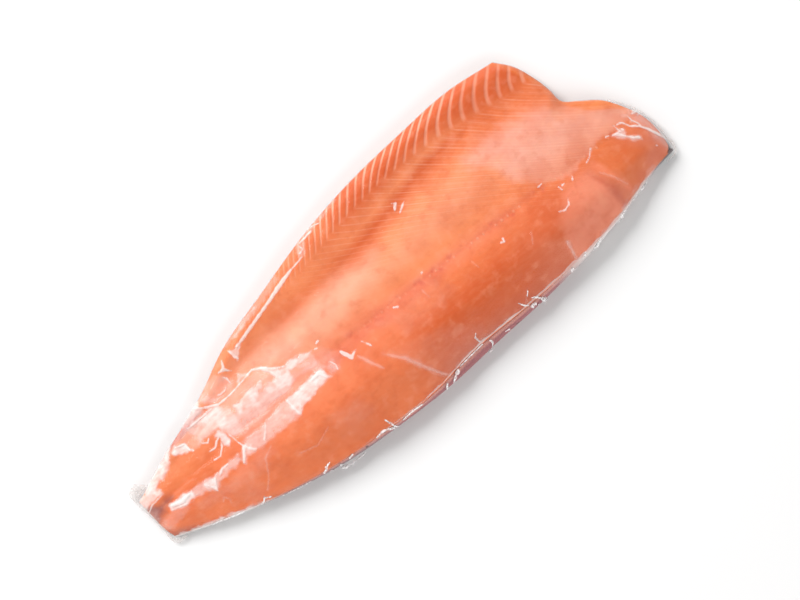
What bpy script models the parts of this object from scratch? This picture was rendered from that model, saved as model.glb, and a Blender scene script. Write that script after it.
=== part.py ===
"""A large side of trout, skin on, sealed tight in clear film and lying flesh side up.

Two layers make the fish: the flesh on top, and the skin below it, which shows as a dark
strip where the flank bulges out past the cut along the back. The film lies so close that
the layers carry its outer size, and it stands free only at the two ends, where it is
gathered into thin flaps. Each free end is a solid of its own.

X runs from tail to head and Y from the back to the belly. The pack rests on its flat
underside at Z = 0, with its box centred on the origin. Sizes below are in millimetres.
"""
import bpy
import bmesh
import numpy as np

MM = 0.001

# Outline seen from above, as (x, y). The centre of its box is moved to the origin.
BOX_CENTRE = (-0.43, 3.1)
BACK_EDGE = [(-194, -38.5), (-170, -47), (-140, -55.5), (-110, -62.5), (-80, -67.3), (-40, -69.5),
             (0, -69.5), (40, -66), (80, -63), (120, -57.5), (150, -51), (175, -43.5), (197, -39.5)]
BELLY_EDGE = [(-198.5, -7.5), (-170, 5), (-130, 20.5), (-100, 35.5), (-60, 48), (-15, 61), (20, 68),
              (70, 73.5), (110, 76), (142, 73)]
TAIL_END = [(-194, -38.5), (-196.3, -30), (-197.5, -20), (-198.5, -7.5)]
HEAD_END = [(197, -39.5), (198, -29), (196, -12), (189.5, 1.5), (181, 13), (170, 21), (161, 28),
            (159.5, 38), (156, 51), (150, 64), (142, 73)]

# Lines of relief that run the length of the side, as (x, y).
CREST_LINE = [(-200, -26), (-120, -32), (0, -33), (120, -30), (200, -25)]
PIN_BONE_LINE = [(-200, -18), (-140, -12), (-60, -8), (100, -8), (200, -9)]
TROUGH_LINE = [(-200, -12), (-150, 5), (-100, 22), (-60, 27), (-10, 32), (35, 40), (65, 47.5),
               (100, 50), (145, 47), (200, 42)]
BELLY_LINE_PAST_FLAP = [(160, 68), (200, 60)]
WALL_PLACE = 0.45
BAND_PLACE = 0.6

# Height of the flesh on those lines, from the cut along the back to the belly's edge:
# cut, loin crest, pin-bone groove, belly wall, trough, belly band, belly edge.
TAIL_SECTION = (6.5, 9.5, 8.8, 8.6, 8.0, 7.6, 6.6)
BODY_SECTION = (16.5, 28.5, 24.5, 21.5, 12.0, 13.5, 10.5)
HEAD_SECTION = (9.0, 14.0, 13.0, 12.0, 9.5, 9.5, 9.0)
GROWTH_FROM_TAIL = [(-200, 0.0), (-165, 0.24), (-125, 0.53), (-85, 0.77), (-35, 0.94), (25, 1.0),
                    (60, 1.0)]
FALL_TO_HEAD = [(60, 0.0), (110, 0.03), (145, 0.2), (170, 0.52), (200, 1.0)]

# How the top rounds down to each edge: the width of the round and the height it ends at.
BELLY_ROUND, BELLY_RIM = 7.0, 4.4
CUT_ROUND, CUT_DROP = 4.0, 1.6
TAIL_ROUND, TAIL_RIM = 9.0, 5.2
FLAP_ROUND, NAPE_ROUND, HEAD_RIM = 5.5, 24.0, 5.0
NOTCH_Y, NOTCH_BLEND = 26.0, 8.0

# The skin, and the flank that bulges past the cut.
SKIN_THICKNESS = 1.2
LAYER_GAP = 0.3
FLANK_BULGE = [(-195, 0.7), (-130, 1.2), (-80, 2.6), (-10, 3.6), (15, 6.2), (60, 4.6), (100, 3.2),
               (125, 1.6), (197, 1.2)]
FLANK_MIDDLE = 0.45
FLANK_TURN = 4.5
RIM_LIFT, RIM_LIFT_WIDTH = 1.2, 7.0
SKIN_TIP = 4.0

# Steps of the two layers, drawn closer together towards their edges.
LENGTH_STEPS = 58
FLANK_ROWS = 6
BOTTOM_ROWS = 11
ALL_ROWS = FLANK_ROWS + BOTTOM_ROWS
CROWDING = 0.55
MATCHED_END = 0.12
CORNER_POWER = 8

# The gathered film that stands free at the two ends: its root, and how far it stands out.
TAIL_FILM = [(-188, -41.6), (-194.6, -39.4), (-197.2, -30), (-198.4, -19), (-199.3, -9.5),
             (-197.6, -5.6), (-189.5, -2.4)]
TAIL_FILM_REACH = [(0.0, 0.8), (0.14, 3.0), (0.24, 1.2), (0.4, 0.8), (0.65, 0.8), (0.78, 2.5),
                   (0.88, 7.5), (1.0, 2.5)]
HEAD_FILM = [(190, -42.2), (197.6, -40.4), (198.9, -29), (197, -12), (190.6, 2.2), (184, 10.6)]
HEAD_FILM_REACH = [(0.0, 0.6), (0.2, 1.4), (0.4, 1.2), (0.7, 1.0), (1.0, 0.6)]
FILM_THICKNESS = 0.5
FILM_HEIGHT, FILM_SAG = 3.6, 0.8
FILM_RIPPLE, FILM_RIPPLES = 0.5, 5.5
FILM_STEPS, FILM_ROWS = 24, 3


def smooth_curve(points):
    """Cubic through (place, value) pairs, as a function of place."""
    places, values = np.array(points, dtype=float).T
    slopes = np.gradient(values, places)

    def read(place):
        place = np.clip(place, places[0], places[-1])
        i = np.clip(np.searchsorted(places, place) - 1, 0, len(places) - 2)
        span = places[i + 1] - places[i]
        t = (place - places[i]) / span
        start = (1 + 2 * t) * (1 - t) ** 2 * values[i] + t * (1 - t) ** 2 * span * slopes[i]
        end = t * t * (3 - 2 * t) * values[i + 1] + t * t * (t - 1) * span * slopes[i + 1]
        return start + end

    return read


def smooth_path(points):
    """Smooth path through (x, y) points, read from 0 at its start to 1 at its end."""
    xy = np.array(points, dtype=float)
    along = np.concatenate([[0.0], np.cumsum(np.hypot(*np.diff(xy, axis=0).T))])
    along /= along[-1]
    read_x = smooth_curve(list(zip(along, xy[:, 0])))
    read_y = smooth_curve(list(zip(along, xy[:, 1])))
    return lambda t: np.stack([read_x(t), read_y(t)], axis=-1)


def distance_to(path, x, y, samples=160):
    """Shortest distance in plan from each point to a path."""
    ends = path(np.linspace(0.0, 1.0, samples))
    start, side = ends[:-1], np.diff(ends, axis=0)
    offset = np.stack([x, y], axis=-1)[..., None, :] - start
    t = np.clip((offset * side).sum(-1) / (side * side).sum(-1), 0.0, 1.0)
    return np.sqrt(((offset - t[..., None] * side) ** 2).sum(-1).min(-1))


def smoothstep(low, high, value):
    t = np.clip((value - low) / (high - low), 0.0, 1.0)
    return t * t * (3 - 2 * t)


def crowded(t):
    """Even places from 0 to 1, drawn closer together towards both ends."""
    return (1 - CROWDING) * t + CROWDING * (1 - np.cos(np.pi * t)) / 2


def quarter_round(distance, width):
    """0 at an edge, rising as a quarter ellipse to 1 at the given width."""
    inward = np.clip(distance / width, 0.0, 1.0)
    return np.sqrt(1.0 - (1.0 - inward) ** 2)


back_edge = smooth_path(BACK_EDGE)
belly_edge = smooth_path(BELLY_EDGE)
tail_end = smooth_path(TAIL_END)
head_end = smooth_path(HEAD_END)
flank_bulge = smooth_curve(FLANK_BULGE)
growth_from_tail = smooth_curve(GROWTH_FROM_TAIL)
fall_to_head = smooth_curve(FALL_TO_HEAD)


def line_height(x, line):
    """Height of one line of relief, grown from the tail's section to the body's and the head's."""
    tail, body, head = TAIL_SECTION[line], BODY_SECTION[line], HEAD_SECTION[line]
    return tail + (body - tail) * growth_from_tail(x) + (head - body) * fall_to_head(x)


def cut_height(x):
    return line_height(x, 0) - CUT_DROP


def flank_depth(x):
    """How far in the flank meets the surface below, for one even turn at its widest."""
    return (FLANK_MIDDLE * cut_height(x)) ** 2 / FLANK_TURN


def inside_back(inset):
    """A curve inside the back edge that meets both ends of the outline, and where it meets them."""
    tail_start = inset(BACK_EDGE[0][0]) / (TAIL_END[-1][1] - TAIL_END[0][1])
    head_start = inset(BACK_EDGE[-1][0]) / np.hypot(*np.diff(HEAD_END, axis=0).T).sum()

    def read(u):
        xy = back_edge(u)
        xy = xy + np.stack([np.zeros_like(u), inset(xy[..., 0])], axis=-1)
        first, last = np.array(BACK_EDGE[0]), np.array(BACK_EDGE[-1])
        to_tail = tail_end(tail_start) - first - (0, inset(first[0]))
        to_head = head_end(head_start) - last - (0, inset(last[0]))
        return xy + (1 - u[..., None]) ** CORNER_POWER * to_tail + u[..., None] ** CORNER_POWER * to_head

    return read, tail_start, head_start


cut_edge, CUT_TAIL_START, CUT_HEAD_START = inside_back(flank_bulge)
flank_foot, FOOT_TAIL_START, FOOT_HEAD_START = inside_back(flank_depth)


def plan_patch(back, tail_start, head_start, u, v):
    """Plan point at u from tail to head and v from a curve along the back to the belly's edge."""
    tail = tail_end(tail_start + (1 - tail_start) * v)
    head = head_end(head_start + (1 - head_start) * v)
    zero, one = np.zeros(1), np.ones(1)
    u_across, v_across = u[..., None], v[..., None]
    across = (1 - v_across) * back(u) + v_across * belly_edge(u)
    along = (1 - u_across) * tail + u_across * head
    corners = ((1 - u_across) * ((1 - v_across) * back(zero) + v_across * belly_edge(zero))
               + u_across * ((1 - v_across) * back(one) + v_across * belly_edge(one)))
    return across + along - corners


def section_height(y, lines, heights):
    """Height at y on a section through the relief lines, rising and falling only between them."""
    gaps = np.diff(lines, axis=0)
    rises = np.diff(heights, axis=0) / gaps
    before, after = rises[:-1], rises[1:]
    turning = before * after <= 0.0
    inner = np.where(turning, 0.0, 2.0 * before * after / np.where(turning, 1.0, before + after))
    slopes = np.concatenate([rises[:1], inner, rises[-1:]])
    y = np.clip(y, lines[0], lines[-1])
    height = np.zeros_like(y)
    for k in range(len(gaps)):
        inside = (y >= lines[k]) & (y <= lines[k + 1])
        t = (y - lines[k]) / gaps[k]
        start = (1 + 2 * t) * (1 - t) ** 2 * heights[k] + t * (1 - t) ** 2 * gaps[k] * slopes[k]
        end = t * t * (3 - 2 * t) * heights[k + 1] + t * t * (t - 1) * gaps[k] * slopes[k + 1]
        height = np.where(inside, start + end, height)
    return height


cut_line = smooth_curve(cut_edge(np.linspace(0.0, 1.0, 60)))
belly_line = smooth_curve(BELLY_EDGE + BELLY_LINE_PAST_FLAP)
crest_line = smooth_curve(CREST_LINE)
pin_bone_line = smooth_curve(PIN_BONE_LINE)
trough_line = smooth_curve(TROUGH_LINE)


def body_height(x, y):
    """Height of the flesh before its edges are rounded."""
    pin, trough, belly = pin_bone_line(x), trough_line(x), belly_line(x)
    lines = np.stack([cut_line(x), crest_line(x), pin, pin + WALL_PLACE * (trough - pin), trough,
                      trough + BAND_PLACE * (belly - trough), belly])
    heights = np.stack([line_height(x, line) for line in range(len(lines))])
    return section_height(y, lines, heights)


def top_height(x, y):
    """Height of the flesh, with every edge rounded down."""
    z = body_height(x, y)
    z = z - CUT_DROP * (1 - quarter_round(distance_to(cut_edge, x, y), CUT_ROUND))
    z = BELLY_RIM + (z - BELLY_RIM) * quarter_round(distance_to(belly_edge, x, y), BELLY_ROUND)
    z = TAIL_RIM + (z - TAIL_RIM) * quarter_round(distance_to(tail_end, x, y), TAIL_ROUND)
    on_flap = smoothstep(NOTCH_Y - NOTCH_BLEND, NOTCH_Y + NOTCH_BLEND, y)
    head_width = NAPE_ROUND + (FLAP_ROUND - NAPE_ROUND) * on_flap
    return HEAD_RIM + (z - HEAD_RIM) * quarter_round(distance_to(head_end, x, y), head_width)


def top_surface(u, row):
    """The cut face of the flesh, which starts just inside the skin's edge."""
    v = top_place(u, row)
    xy = plan_patch(cut_edge, CUT_TAIL_START, CUT_HEAD_START, u, v)
    xy[..., 1] += SKIN_THICKNESS * (1 - v) ** CORNER_POWER
    return np.concatenate([xy, top_height(xy[..., 0], xy[..., 1])[..., None]], axis=-1)


def under_place(row):
    """How far across the underside a row lies, from the flank's foot to the belly's edge."""
    under = np.clip((row - FLANK_ROWS) / BOTTOM_ROWS, 0.0, 1.0)
    return (1 - CROWDING) * under + CROWDING * np.sin(under * np.pi / 2)


def top_place(u, row):
    """How far across the cut face a row lies. At the two ends the rows stand over those below."""
    foot = FOOT_TAIL_START + (FOOT_HEAD_START - FOOT_TAIL_START) * u
    over_rows_below = foot * np.clip(row / FLANK_ROWS, 0.0, 1.0) + (1 - foot) * under_place(row)
    near_end = 1 - smoothstep(0.0, MATCHED_END, np.minimum(u, 1 - u))
    return (1 - near_end) * crowded(row / ALL_ROWS) + near_end * over_rows_below


def under_surface(u, row):
    """Outside of the skin: down round the flank from the cut, then under to the belly."""
    under = under_place(row)
    xy = plan_patch(flank_foot, FOOT_TAIL_START, FOOT_HEAD_START, u, under)
    cut, foot = cut_edge(u), flank_foot(u)
    cut_z = cut_height(cut[..., 0])
    depth = (foot - back_edge(u))[..., 1]
    start_angle = np.arccos((foot - cut)[..., 1] / depth)
    angle = start_angle - (np.pi / 2 + start_angle) * np.clip(row / FLANK_ROWS, 0.0, 1.0)
    middle = FLANK_MIDDLE * cut_z
    z = middle + np.where(angle > 0, (cut_z - middle) / np.sin(start_angle), middle) * np.sin(angle)
    outward = np.cos(angle) * (row < FLANK_ROWS)
    xy[..., 1] -= depth * outward
    xy[..., 0] += (cut - foot)[..., 0] * outward
    edge = np.minimum(distance_to(belly_edge, xy[..., 0], xy[..., 1]),
                      np.minimum(distance_to(tail_end, xy[..., 0], xy[..., 1]),
                                 distance_to(head_end, xy[..., 0], xy[..., 1])))
    lift = RIM_LIFT * (1 - smoothstep(0.0, RIM_LIFT_WIDTH, edge))
    z = lift + z * (row < FLANK_ROWS) * (1 - lift / cut_z)
    return np.concatenate([xy, z[..., None]], axis=-1)


def grid_normals(points):
    """Unit normals of a grid of points on the underside, pointing out of the fish."""
    normals = np.cross(np.gradient(points, axis=1), np.gradient(points, axis=0))
    return normals / np.linalg.norm(normals, axis=-1, keepdims=True)


def layer_grid():
    """Place from tail to head and row from back to belly, for every point of a layer."""
    steps = np.linspace(0.0, 1.0, LENGTH_STEPS + 1)
    return np.meshgrid(crowded(steps), np.arange(ALL_ROWS + 1.0), indexing="ij")


def add_grid(mesh, points):
    """Vertices of one grid of points, moved to the pack's own origin, as rows."""
    points = (points - np.array([*BOX_CENTRE, 0.0])) * MM
    return [[mesh.verts.new(point) for point in line] for line in points]


def add_faces(mesh, grid):
    for near, far in zip(grid[:-1], grid[1:]):
        for k in range(len(near) - 1):
            mesh.faces.new([near[k], near[k + 1], far[k + 1], far[k]])


def rim_of(grid):
    """The vertices round the edge of a grid, in order."""
    first, last = grid[0], grid[-1]
    return first[:-1] + [line[-1] for line in grid[:-1]] + last[:0:-1] + [line[0] for line in grid[:0:-1]]


def finish_object(mesh, name, colour, roughness, collection):
    data = bpy.data.meshes.new(name)
    mesh.to_mesh(data)
    mesh.free()
    data.shade_smooth()
    obj = bpy.data.objects.new(name, data)
    collection.objects.link(obj)
    material = bpy.data.materials.new(name)
    material.use_nodes = True
    shader = material.node_tree.nodes["Principled BSDF"]
    shader.inputs["Base Color"].default_value = colour
    shader.inputs["Roughness"].default_value = roughness
    shader.inputs["Metallic"].default_value = 0.0
    data.materials.append(material)
    return obj


def add_thickness(obj, thickness, offset):
    solidify = obj.modifiers.new("thickness", "SOLIDIFY")
    solidify.thickness = thickness * MM
    solidify.offset = offset


def make_flesh(collection):
    """The flesh, from its cut face down to just above the skin, short of the skin's tip."""
    u, row = layer_grid()
    tip = SKIN_TIP / (BACK_EDGE[-1][0] - BACK_EDGE[0][0])
    u = u * (1 - tip * (1 - row / ALL_ROWS) ** 3)
    under = under_surface(u, row)
    bottom = under - (SKIN_THICKNESS + LAYER_GAP) * grid_normals(under)
    mesh = bmesh.new()
    top_grid, bottom_grid = add_grid(mesh, top_surface(u, row)), add_grid(mesh, bottom)
    add_faces(mesh, top_grid)
    add_faces(mesh, bottom_grid)
    upper, lower = rim_of(top_grid), rim_of(bottom_grid)
    for k in range(len(upper)):
        after = (k + 1) % len(upper)
        mesh.faces.new([upper[k], upper[after], lower[after], lower[k]])
    bmesh.ops.recalc_face_normals(mesh, faces=mesh.faces)
    finish_object(mesh, "flesh", (0.93, 0.24, 0.11, 1.0), 0.3, collection)


def make_skin(collection):
    """The skin, an open shell under the fish that is given its thickness inwards."""
    u, row = layer_grid()
    mesh = bmesh.new()
    add_faces(mesh, add_grid(mesh, under_surface(u, row)))
    skin = finish_object(mesh, "skin", (0.20, 0.10, 0.12, 1.0), 0.35, collection)
    add_thickness(skin, SKIN_THICKNESS, -1.0)


def make_film_end(name, root_points, reach_points, collection):
    """A gathered flap of film that stands out from its root, rippled along its length."""
    t, s = np.meshgrid(np.linspace(0.0, 1.0, FILM_STEPS + 1), np.linspace(0.0, 1.0, FILM_ROWS + 1),
                       indexing="ij")
    xy = smooth_path(root_points)(t)
    along = np.gradient(xy, axis=0)
    outward = np.stack([along[..., 1], -along[..., 0]], axis=-1) * np.sign(root_points[0][0])
    outward /= np.linalg.norm(outward, axis=-1, keepdims=True)
    xy = xy + (smooth_curve(reach_points)(t) * s)[..., None] * outward
    z = FILM_HEIGHT - FILM_SAG * s + FILM_RIPPLE * s * np.sin(2 * np.pi * FILM_RIPPLES * t)
    mesh = bmesh.new()
    add_faces(mesh, add_grid(mesh, np.concatenate([xy, z[..., None]], axis=-1)))
    film = finish_object(mesh, name, (0.85, 0.84, 0.85, 1.0), 0.15, collection)
    add_thickness(film, FILM_THICKNESS, 0.0)


for old in list(bpy.data.objects):
    bpy.data.objects.remove(old, do_unlink=True)
pack = bpy.data.collections.new("trout_side_pack")
bpy.context.scene.collection.children.link(pack)
make_flesh(pack)
make_skin(pack)
make_film_end("film_tail_end", TAIL_FILM, TAIL_FILM_REACH, pack)
make_film_end("film_head_end", HEAD_FILM, HEAD_FILM_REACH, pack)
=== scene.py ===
import bmesh
import bpy
import numpy as np
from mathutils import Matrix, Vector


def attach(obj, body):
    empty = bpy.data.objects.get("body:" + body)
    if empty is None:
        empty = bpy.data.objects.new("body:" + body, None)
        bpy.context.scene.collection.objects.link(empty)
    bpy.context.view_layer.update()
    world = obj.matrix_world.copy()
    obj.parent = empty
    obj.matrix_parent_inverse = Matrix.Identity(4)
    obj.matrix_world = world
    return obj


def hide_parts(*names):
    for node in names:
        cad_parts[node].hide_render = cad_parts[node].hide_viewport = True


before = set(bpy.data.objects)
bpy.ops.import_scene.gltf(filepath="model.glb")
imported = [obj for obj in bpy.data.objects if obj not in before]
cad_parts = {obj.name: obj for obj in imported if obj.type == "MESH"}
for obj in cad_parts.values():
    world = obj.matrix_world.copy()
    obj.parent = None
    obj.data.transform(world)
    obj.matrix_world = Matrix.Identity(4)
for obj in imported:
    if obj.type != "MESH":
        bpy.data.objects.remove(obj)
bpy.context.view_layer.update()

# Flesh: one side of a large trout, cut off the bones and trimmed, lying cut face up. It is
# orange muscle in thin curved layers parted by pale fat, thick along the loin and thin at the
# belly flap, which ends in a blunt cut with a notch behind it. Sizes here are in millimetres.
MM = 0.001
BOX_CENTRE = (-0.43, 3.1)
BACK_EDGE = [(-194, -38.5), (-170, -47), (-140, -55.5), (-110, -62.5), (-80, -67.3), (-40, -69.5),
             (0, -69.5), (40, -66), (80, -63), (120, -57.5), (150, -51), (175, -43.5), (197, -39.5)]
BELLY_EDGE = [(-198.5, -7.5), (-170, 5), (-130, 20.5), (-100, 35.5), (-60, 48), (-15, 61), (20, 68),
              (70, 73.5), (110, 76), (142, 73)]
TAIL_END = [(-194, -38.5), (-196.3, -30), (-197.5, -20), (-198.5, -7.5)]
HEAD_END = [(197, -39.5), (198, -29), (196, -12), (189.5, 1.5), (181, 13), (170, 21), (161, 28),
            (159.5, 38), (156, 51), (150, 64), (142, 73)]

# Lines of relief that run the length of the side, and the height of the flesh on them, from
# the cut along the back, over loin crest, pin-bone groove, belly wall, trough and belly band.
CREST_LINE = [(-200, -26), (-120, -32), (0, -33), (120, -30), (200, -25)]
PIN_BONE_LINE = [(-200, -18), (-140, -12), (-60, -8), (100, -8), (200, -9)]
TROUGH_LINE = [(-200, -12), (-150, 5), (-100, 22), (-60, 27), (-10, 32), (35, 40), (65, 47.5),
               (100, 50), (145, 47), (200, 42)]
BELLY_LINE_PAST_FLAP = [(160, 68), (200, 60)]
WALL_PLACE, BAND_PLACE = 0.45, 0.6
TAIL_SECTION = (6.5, 9.5, 8.8, 8.6, 8.0, 7.6, 6.6)
BODY_SECTION = (16.5, 28.5, 24.5, 21.5, 12.0, 13.5, 10.5)
HEAD_SECTION = (9.0, 14.0, 13.0, 12.0, 9.5, 9.5, 9.0)
GROWTH_FROM_TAIL = [(-200, 0), (-165, 0.24), (-125, 0.53), (-85, 0.77), (-35, 0.94), (25, 1), (60, 1)]
FALL_TO_HEAD = [(60, 0), (110, 0.03), (145, 0.2), (170, 0.52), (200, 1)]
BELLY_ROUND, BELLY_RIM = 7.0, 4.4
CUT_ROUND, CUT_DROP = 4.0, 1.6
TAIL_ROUND, TAIL_RIM = 9.0, 5.2
FLAP_ROUND, NAPE_ROUND, HEAD_RIM = 5.5, 24.0, 5.0
NOTCH_Y, NOTCH_BLEND = 26.0, 8.0

# The flank that bulges past the cut, and the turn of the underside.
SKIN_ALLOWANCE, LAYER_GAP, CUT_LIP = 1.2, 0.3, 0.3
FLANK_BULGE = [(-195, 0.7), (-130, 1.2), (-80, 2.6), (-10, 3.6), (15, 6.2), (60, 4.6), (100, 3.2),
               (125, 1.6), (197, 1.2)]
FLANK_MIDDLE, FLANK_TURN = 0.45, 4.5
RIM_LIFT, RIM_LIFT_WIDTH = 1.2, 7.0
SKIN_TIP = 4.0
FLANK_ROWS, BOTTOM_ROWS = 6, 11
ALL_ROWS = FLANK_ROWS + BOTTOM_ROWS
CROWDING, MATCHED_END, CORNER_POWER = 0.55, 0.12, 8
LENGTH_STEPS, FINE_ROWS, COARSER, END_CROWDING = 500, 168, 4, 0.3
PATH_SAMPLES, CUT_LINE_SAMPLES, LUMP_KNOTS = 160, 60, 64


def cubic_between(t, span, start, end, start_slope, end_slope):
    """Cubic from one value to the next over a span, with the given slope at each."""
    leaving = (1 + 2 * t) * (1 - t) ** 2 * start + t * (1 - t) ** 2 * span * start_slope
    arriving = t * t * (3 - 2 * t) * end + t * t * (t - 1) * span * end_slope
    return leaving + arriving


def smooth_curve(points):
    """Cubic through (place, value) pairs, as a function of place."""
    places, values = np.array(points, dtype=float).T
    slopes = np.gradient(values, places)

    def read_at(place):
        place = np.clip(place, places[0], places[-1])
        i = np.clip(np.searchsorted(places, place) - 1, 0, len(places) - 2)
        span = places[i + 1] - places[i]
        t = (place - places[i]) / span
        return cubic_between(t, span, values[i], values[i + 1], slopes[i], slopes[i + 1])

    return read_at


def lengths_along(points):
    """Length walked from the first of (x, y) points to each of them."""
    return np.concatenate([[0.0], np.cumsum(np.hypot(*np.diff(points, axis=0).T))])


def curve_through(points, places):
    """Smooth curve through (x, y) points, read at the place given for each of them."""
    read_x, read_y = (smooth_curve(list(zip(places, points[:, axis]))) for axis in (0, 1))
    return lambda t: np.stack([read_x(t), read_y(t)], axis=-1)


def smooth_path(points):
    """Smooth path through (x, y) points, read from 0 at its start to 1 at its end."""
    xy = np.array(points, dtype=float)
    lengths = lengths_along(xy)
    return curve_through(xy, lengths / lengths[-1])


def depth_in_stroke(x, y, stroke):
    """How deep each point lies inside a stroke of (x, y, half width), negative outside it."""
    deepest = np.full(np.shape(x), -np.inf)
    for (x0, y0, width0), (x1, y1, width1) in zip(stroke[:-1], stroke[1:]):
        dx, dy = x1 - x0, y1 - y0
        t = np.clip(((x - x0) * dx + (y - y0) * dy) / (dx * dx + dy * dy), 0.0, 1.0)
        away = np.hypot(x - x0 - t * dx, y - y0 - t * dy)
        deepest = np.maximum(deepest, width0 + (width1 - width0) * t - away)
    return deepest


def distance_to(path, x, y):
    """Shortest distance in plan from each point to a smooth path."""
    line = path(np.linspace(0.0, 1.0, PATH_SAMPLES))
    return -depth_in_stroke(x, y, [(*point, 0.0) for point in line])


def smoothstep(low, high, value):
    t = np.clip((value - low) / (high - low), 0.0, 1.0)
    return t * t * (3 - 2 * t)


def quarter_round(distance, width):
    """0 at an edge, rising as a quarter ellipse to 1 at the given width."""
    inward = np.clip(distance / width, 0.0, 1.0)
    return np.sqrt(1.0 - (1.0 - inward) ** 2)


back_edge = smooth_path(BACK_EDGE)
belly_edge = smooth_path(BELLY_EDGE)
tail_end = smooth_path(TAIL_END)
head_end = smooth_path(HEAD_END)
flank_bulge = smooth_curve(FLANK_BULGE)
growth_from_tail = smooth_curve(GROWTH_FROM_TAIL)
fall_to_head = smooth_curve(FALL_TO_HEAD)


def line_height(x, line):
    """Height of one line of relief, grown from the tail's section to the body's and the head's."""
    tail, body, head = TAIL_SECTION[line], BODY_SECTION[line], HEAD_SECTION[line]
    return tail + (body - tail) * growth_from_tail(x) + (head - body) * fall_to_head(x)


def cut_height(x):
    return line_height(x, 0) - CUT_DROP


def flank_depth(x):
    """How far in the flank meets the surface below, for one even turn at its widest."""
    return (FLANK_MIDDLE * cut_height(x)) ** 2 / FLANK_TURN


def inside_back(inset):
    """A curve inside the back edge that meets both ends of the outline, and where it meets them."""
    tail_start = inset(BACK_EDGE[0][0]) / (TAIL_END[-1][1] - TAIL_END[0][1])
    head_start = inset(BACK_EDGE[-1][0]) / np.hypot(*np.diff(HEAD_END, axis=0).T).sum()

    def read_at(u):
        xy = back_edge(u)
        xy = xy + np.stack([np.zeros_like(u), inset(xy[..., 0])], axis=-1)
        first, last = np.array(BACK_EDGE[0]), np.array(BACK_EDGE[-1])
        to_tail = tail_end(tail_start) - first - (0, inset(first[0]))
        to_head = head_end(head_start) - last - (0, inset(last[0]))
        near_tail, near_head = (1 - u[..., None]) ** CORNER_POWER, u[..., None] ** CORNER_POWER
        return xy + near_tail * to_tail + near_head * to_head

    return read_at, tail_start, head_start


cut_edge, CUT_TAIL_START, CUT_HEAD_START = inside_back(flank_bulge)
flank_foot, FOOT_TAIL_START, FOOT_HEAD_START = inside_back(flank_depth)


def plan_patch(back, tail_start, head_start, u, v):
    """Plan point at u from tail to head and v from a curve along the back to the belly's edge."""
    tail = tail_end(tail_start + (1 - tail_start) * v)
    head = head_end(head_start + (1 - head_start) * v)
    u_along, v_across = u[..., None], v[..., None]

    def across_at(place):
        return (1 - v_across) * back(place) + v_across * belly_edge(place)

    along = (1 - u_along) * tail + u_along * head
    corners = (1 - u_along) * across_at(np.zeros(1)) + u_along * across_at(np.ones(1))
    return across_at(u) + along - corners


cut_line = smooth_curve(cut_edge(np.linspace(0.0, 1.0, CUT_LINE_SAMPLES)))
belly_line = smooth_curve(BELLY_EDGE + BELLY_LINE_PAST_FLAP)
crest_line = smooth_curve(CREST_LINE)
pin_bone_line = smooth_curve(PIN_BONE_LINE)
trough_line = smooth_curve(TROUGH_LINE)


def relief_lines(x):
    """Where the seven lines of relief lie across the side at x."""
    pin, trough, belly = pin_bone_line(x), trough_line(x), belly_line(x)
    return np.stack([cut_line(x), crest_line(x), pin, pin + WALL_PLACE * (trough - pin), trough,
                     trough + BAND_PLACE * (belly - trough), belly])


def body_height(x, y):
    """Height of the flesh before its edges are rounded, rising and falling only between lines."""
    lines = relief_lines(x)
    heights = np.stack([line_height(x, line) for line in range(len(lines))])
    gaps = np.diff(lines, axis=0)
    rises = np.diff(heights, axis=0) / gaps
    before, after = rises[:-1], rises[1:]
    turning = before * after <= 0.0
    inner = np.where(turning, 0.0, 2.0 * before * after / np.where(turning, 1.0, before + after))
    slopes = np.concatenate([rises[:1], inner, rises[-1:]])
    y = np.clip(y, lines[0], lines[-1])
    height = np.zeros_like(y)
    for k in range(len(gaps)):
        inside = (y >= lines[k]) & (y <= lines[k + 1])
        t = (y - lines[k]) / gaps[k]
        between = cubic_between(t, gaps[k], heights[k], heights[k + 1], slopes[k], slopes[k + 1])
        height = np.where(inside, between, height)
    return height


def top_height(x, y):
    """Height of the flesh, with every edge rounded down."""
    z = body_height(x, y)
    z = z - CUT_DROP * (1 - quarter_round(distance_to(cut_edge, x, y), CUT_ROUND))
    on_flap = smoothstep(NOTCH_Y - NOTCH_BLEND, NOTCH_Y + NOTCH_BLEND, y)
    head_round = NAPE_ROUND + (FLAP_ROUND - NAPE_ROUND) * on_flap
    for edge, rim, width in ((belly_edge, BELLY_RIM, BELLY_ROUND), (tail_end, TAIL_RIM, TAIL_ROUND),
                             (head_end, HEAD_RIM, head_round)):
        z = rim + (z - rim) * quarter_round(distance_to(edge, x, y), width)
    return z


def under_place(row):
    """How far across the underside a row lies, from the flank's foot to the belly's edge."""
    under = np.clip((row - FLANK_ROWS) / BOTTOM_ROWS, 0.0, 1.0)
    return (1 - CROWDING) * under + CROWDING * np.sin(under * np.pi / 2)


def top_place(u, row):
    """How far across the cut face a row lies. At the two ends the rows stand over those below."""
    even = row / ALL_ROWS
    crowded = (1 - CROWDING) * even + CROWDING * (1 - np.cos(np.pi * even)) / 2
    foot = FOOT_TAIL_START + (FOOT_HEAD_START - FOOT_TAIL_START) * u
    over_rows_below = foot * np.clip(row / FLANK_ROWS, 0.0, 1.0) + (1 - foot) * under_place(row)
    near_end = 1 - smoothstep(0.0, MATCHED_END, np.minimum(u, 1 - u))
    return (1 - near_end) * crowded + near_end * over_rows_below


def top_surface(u, row):
    """The cut face of the flesh, which starts just inside the skin's edge."""
    v = top_place(u, row)
    xy = plan_patch(cut_edge, CUT_TAIL_START, CUT_HEAD_START, u, v)
    xy[..., 1] += SKIN_ALLOWANCE * (1 - v) ** CORNER_POWER
    return np.concatenate([xy, top_height(xy[..., 0], xy[..., 1])[..., None]], axis=-1)


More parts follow.
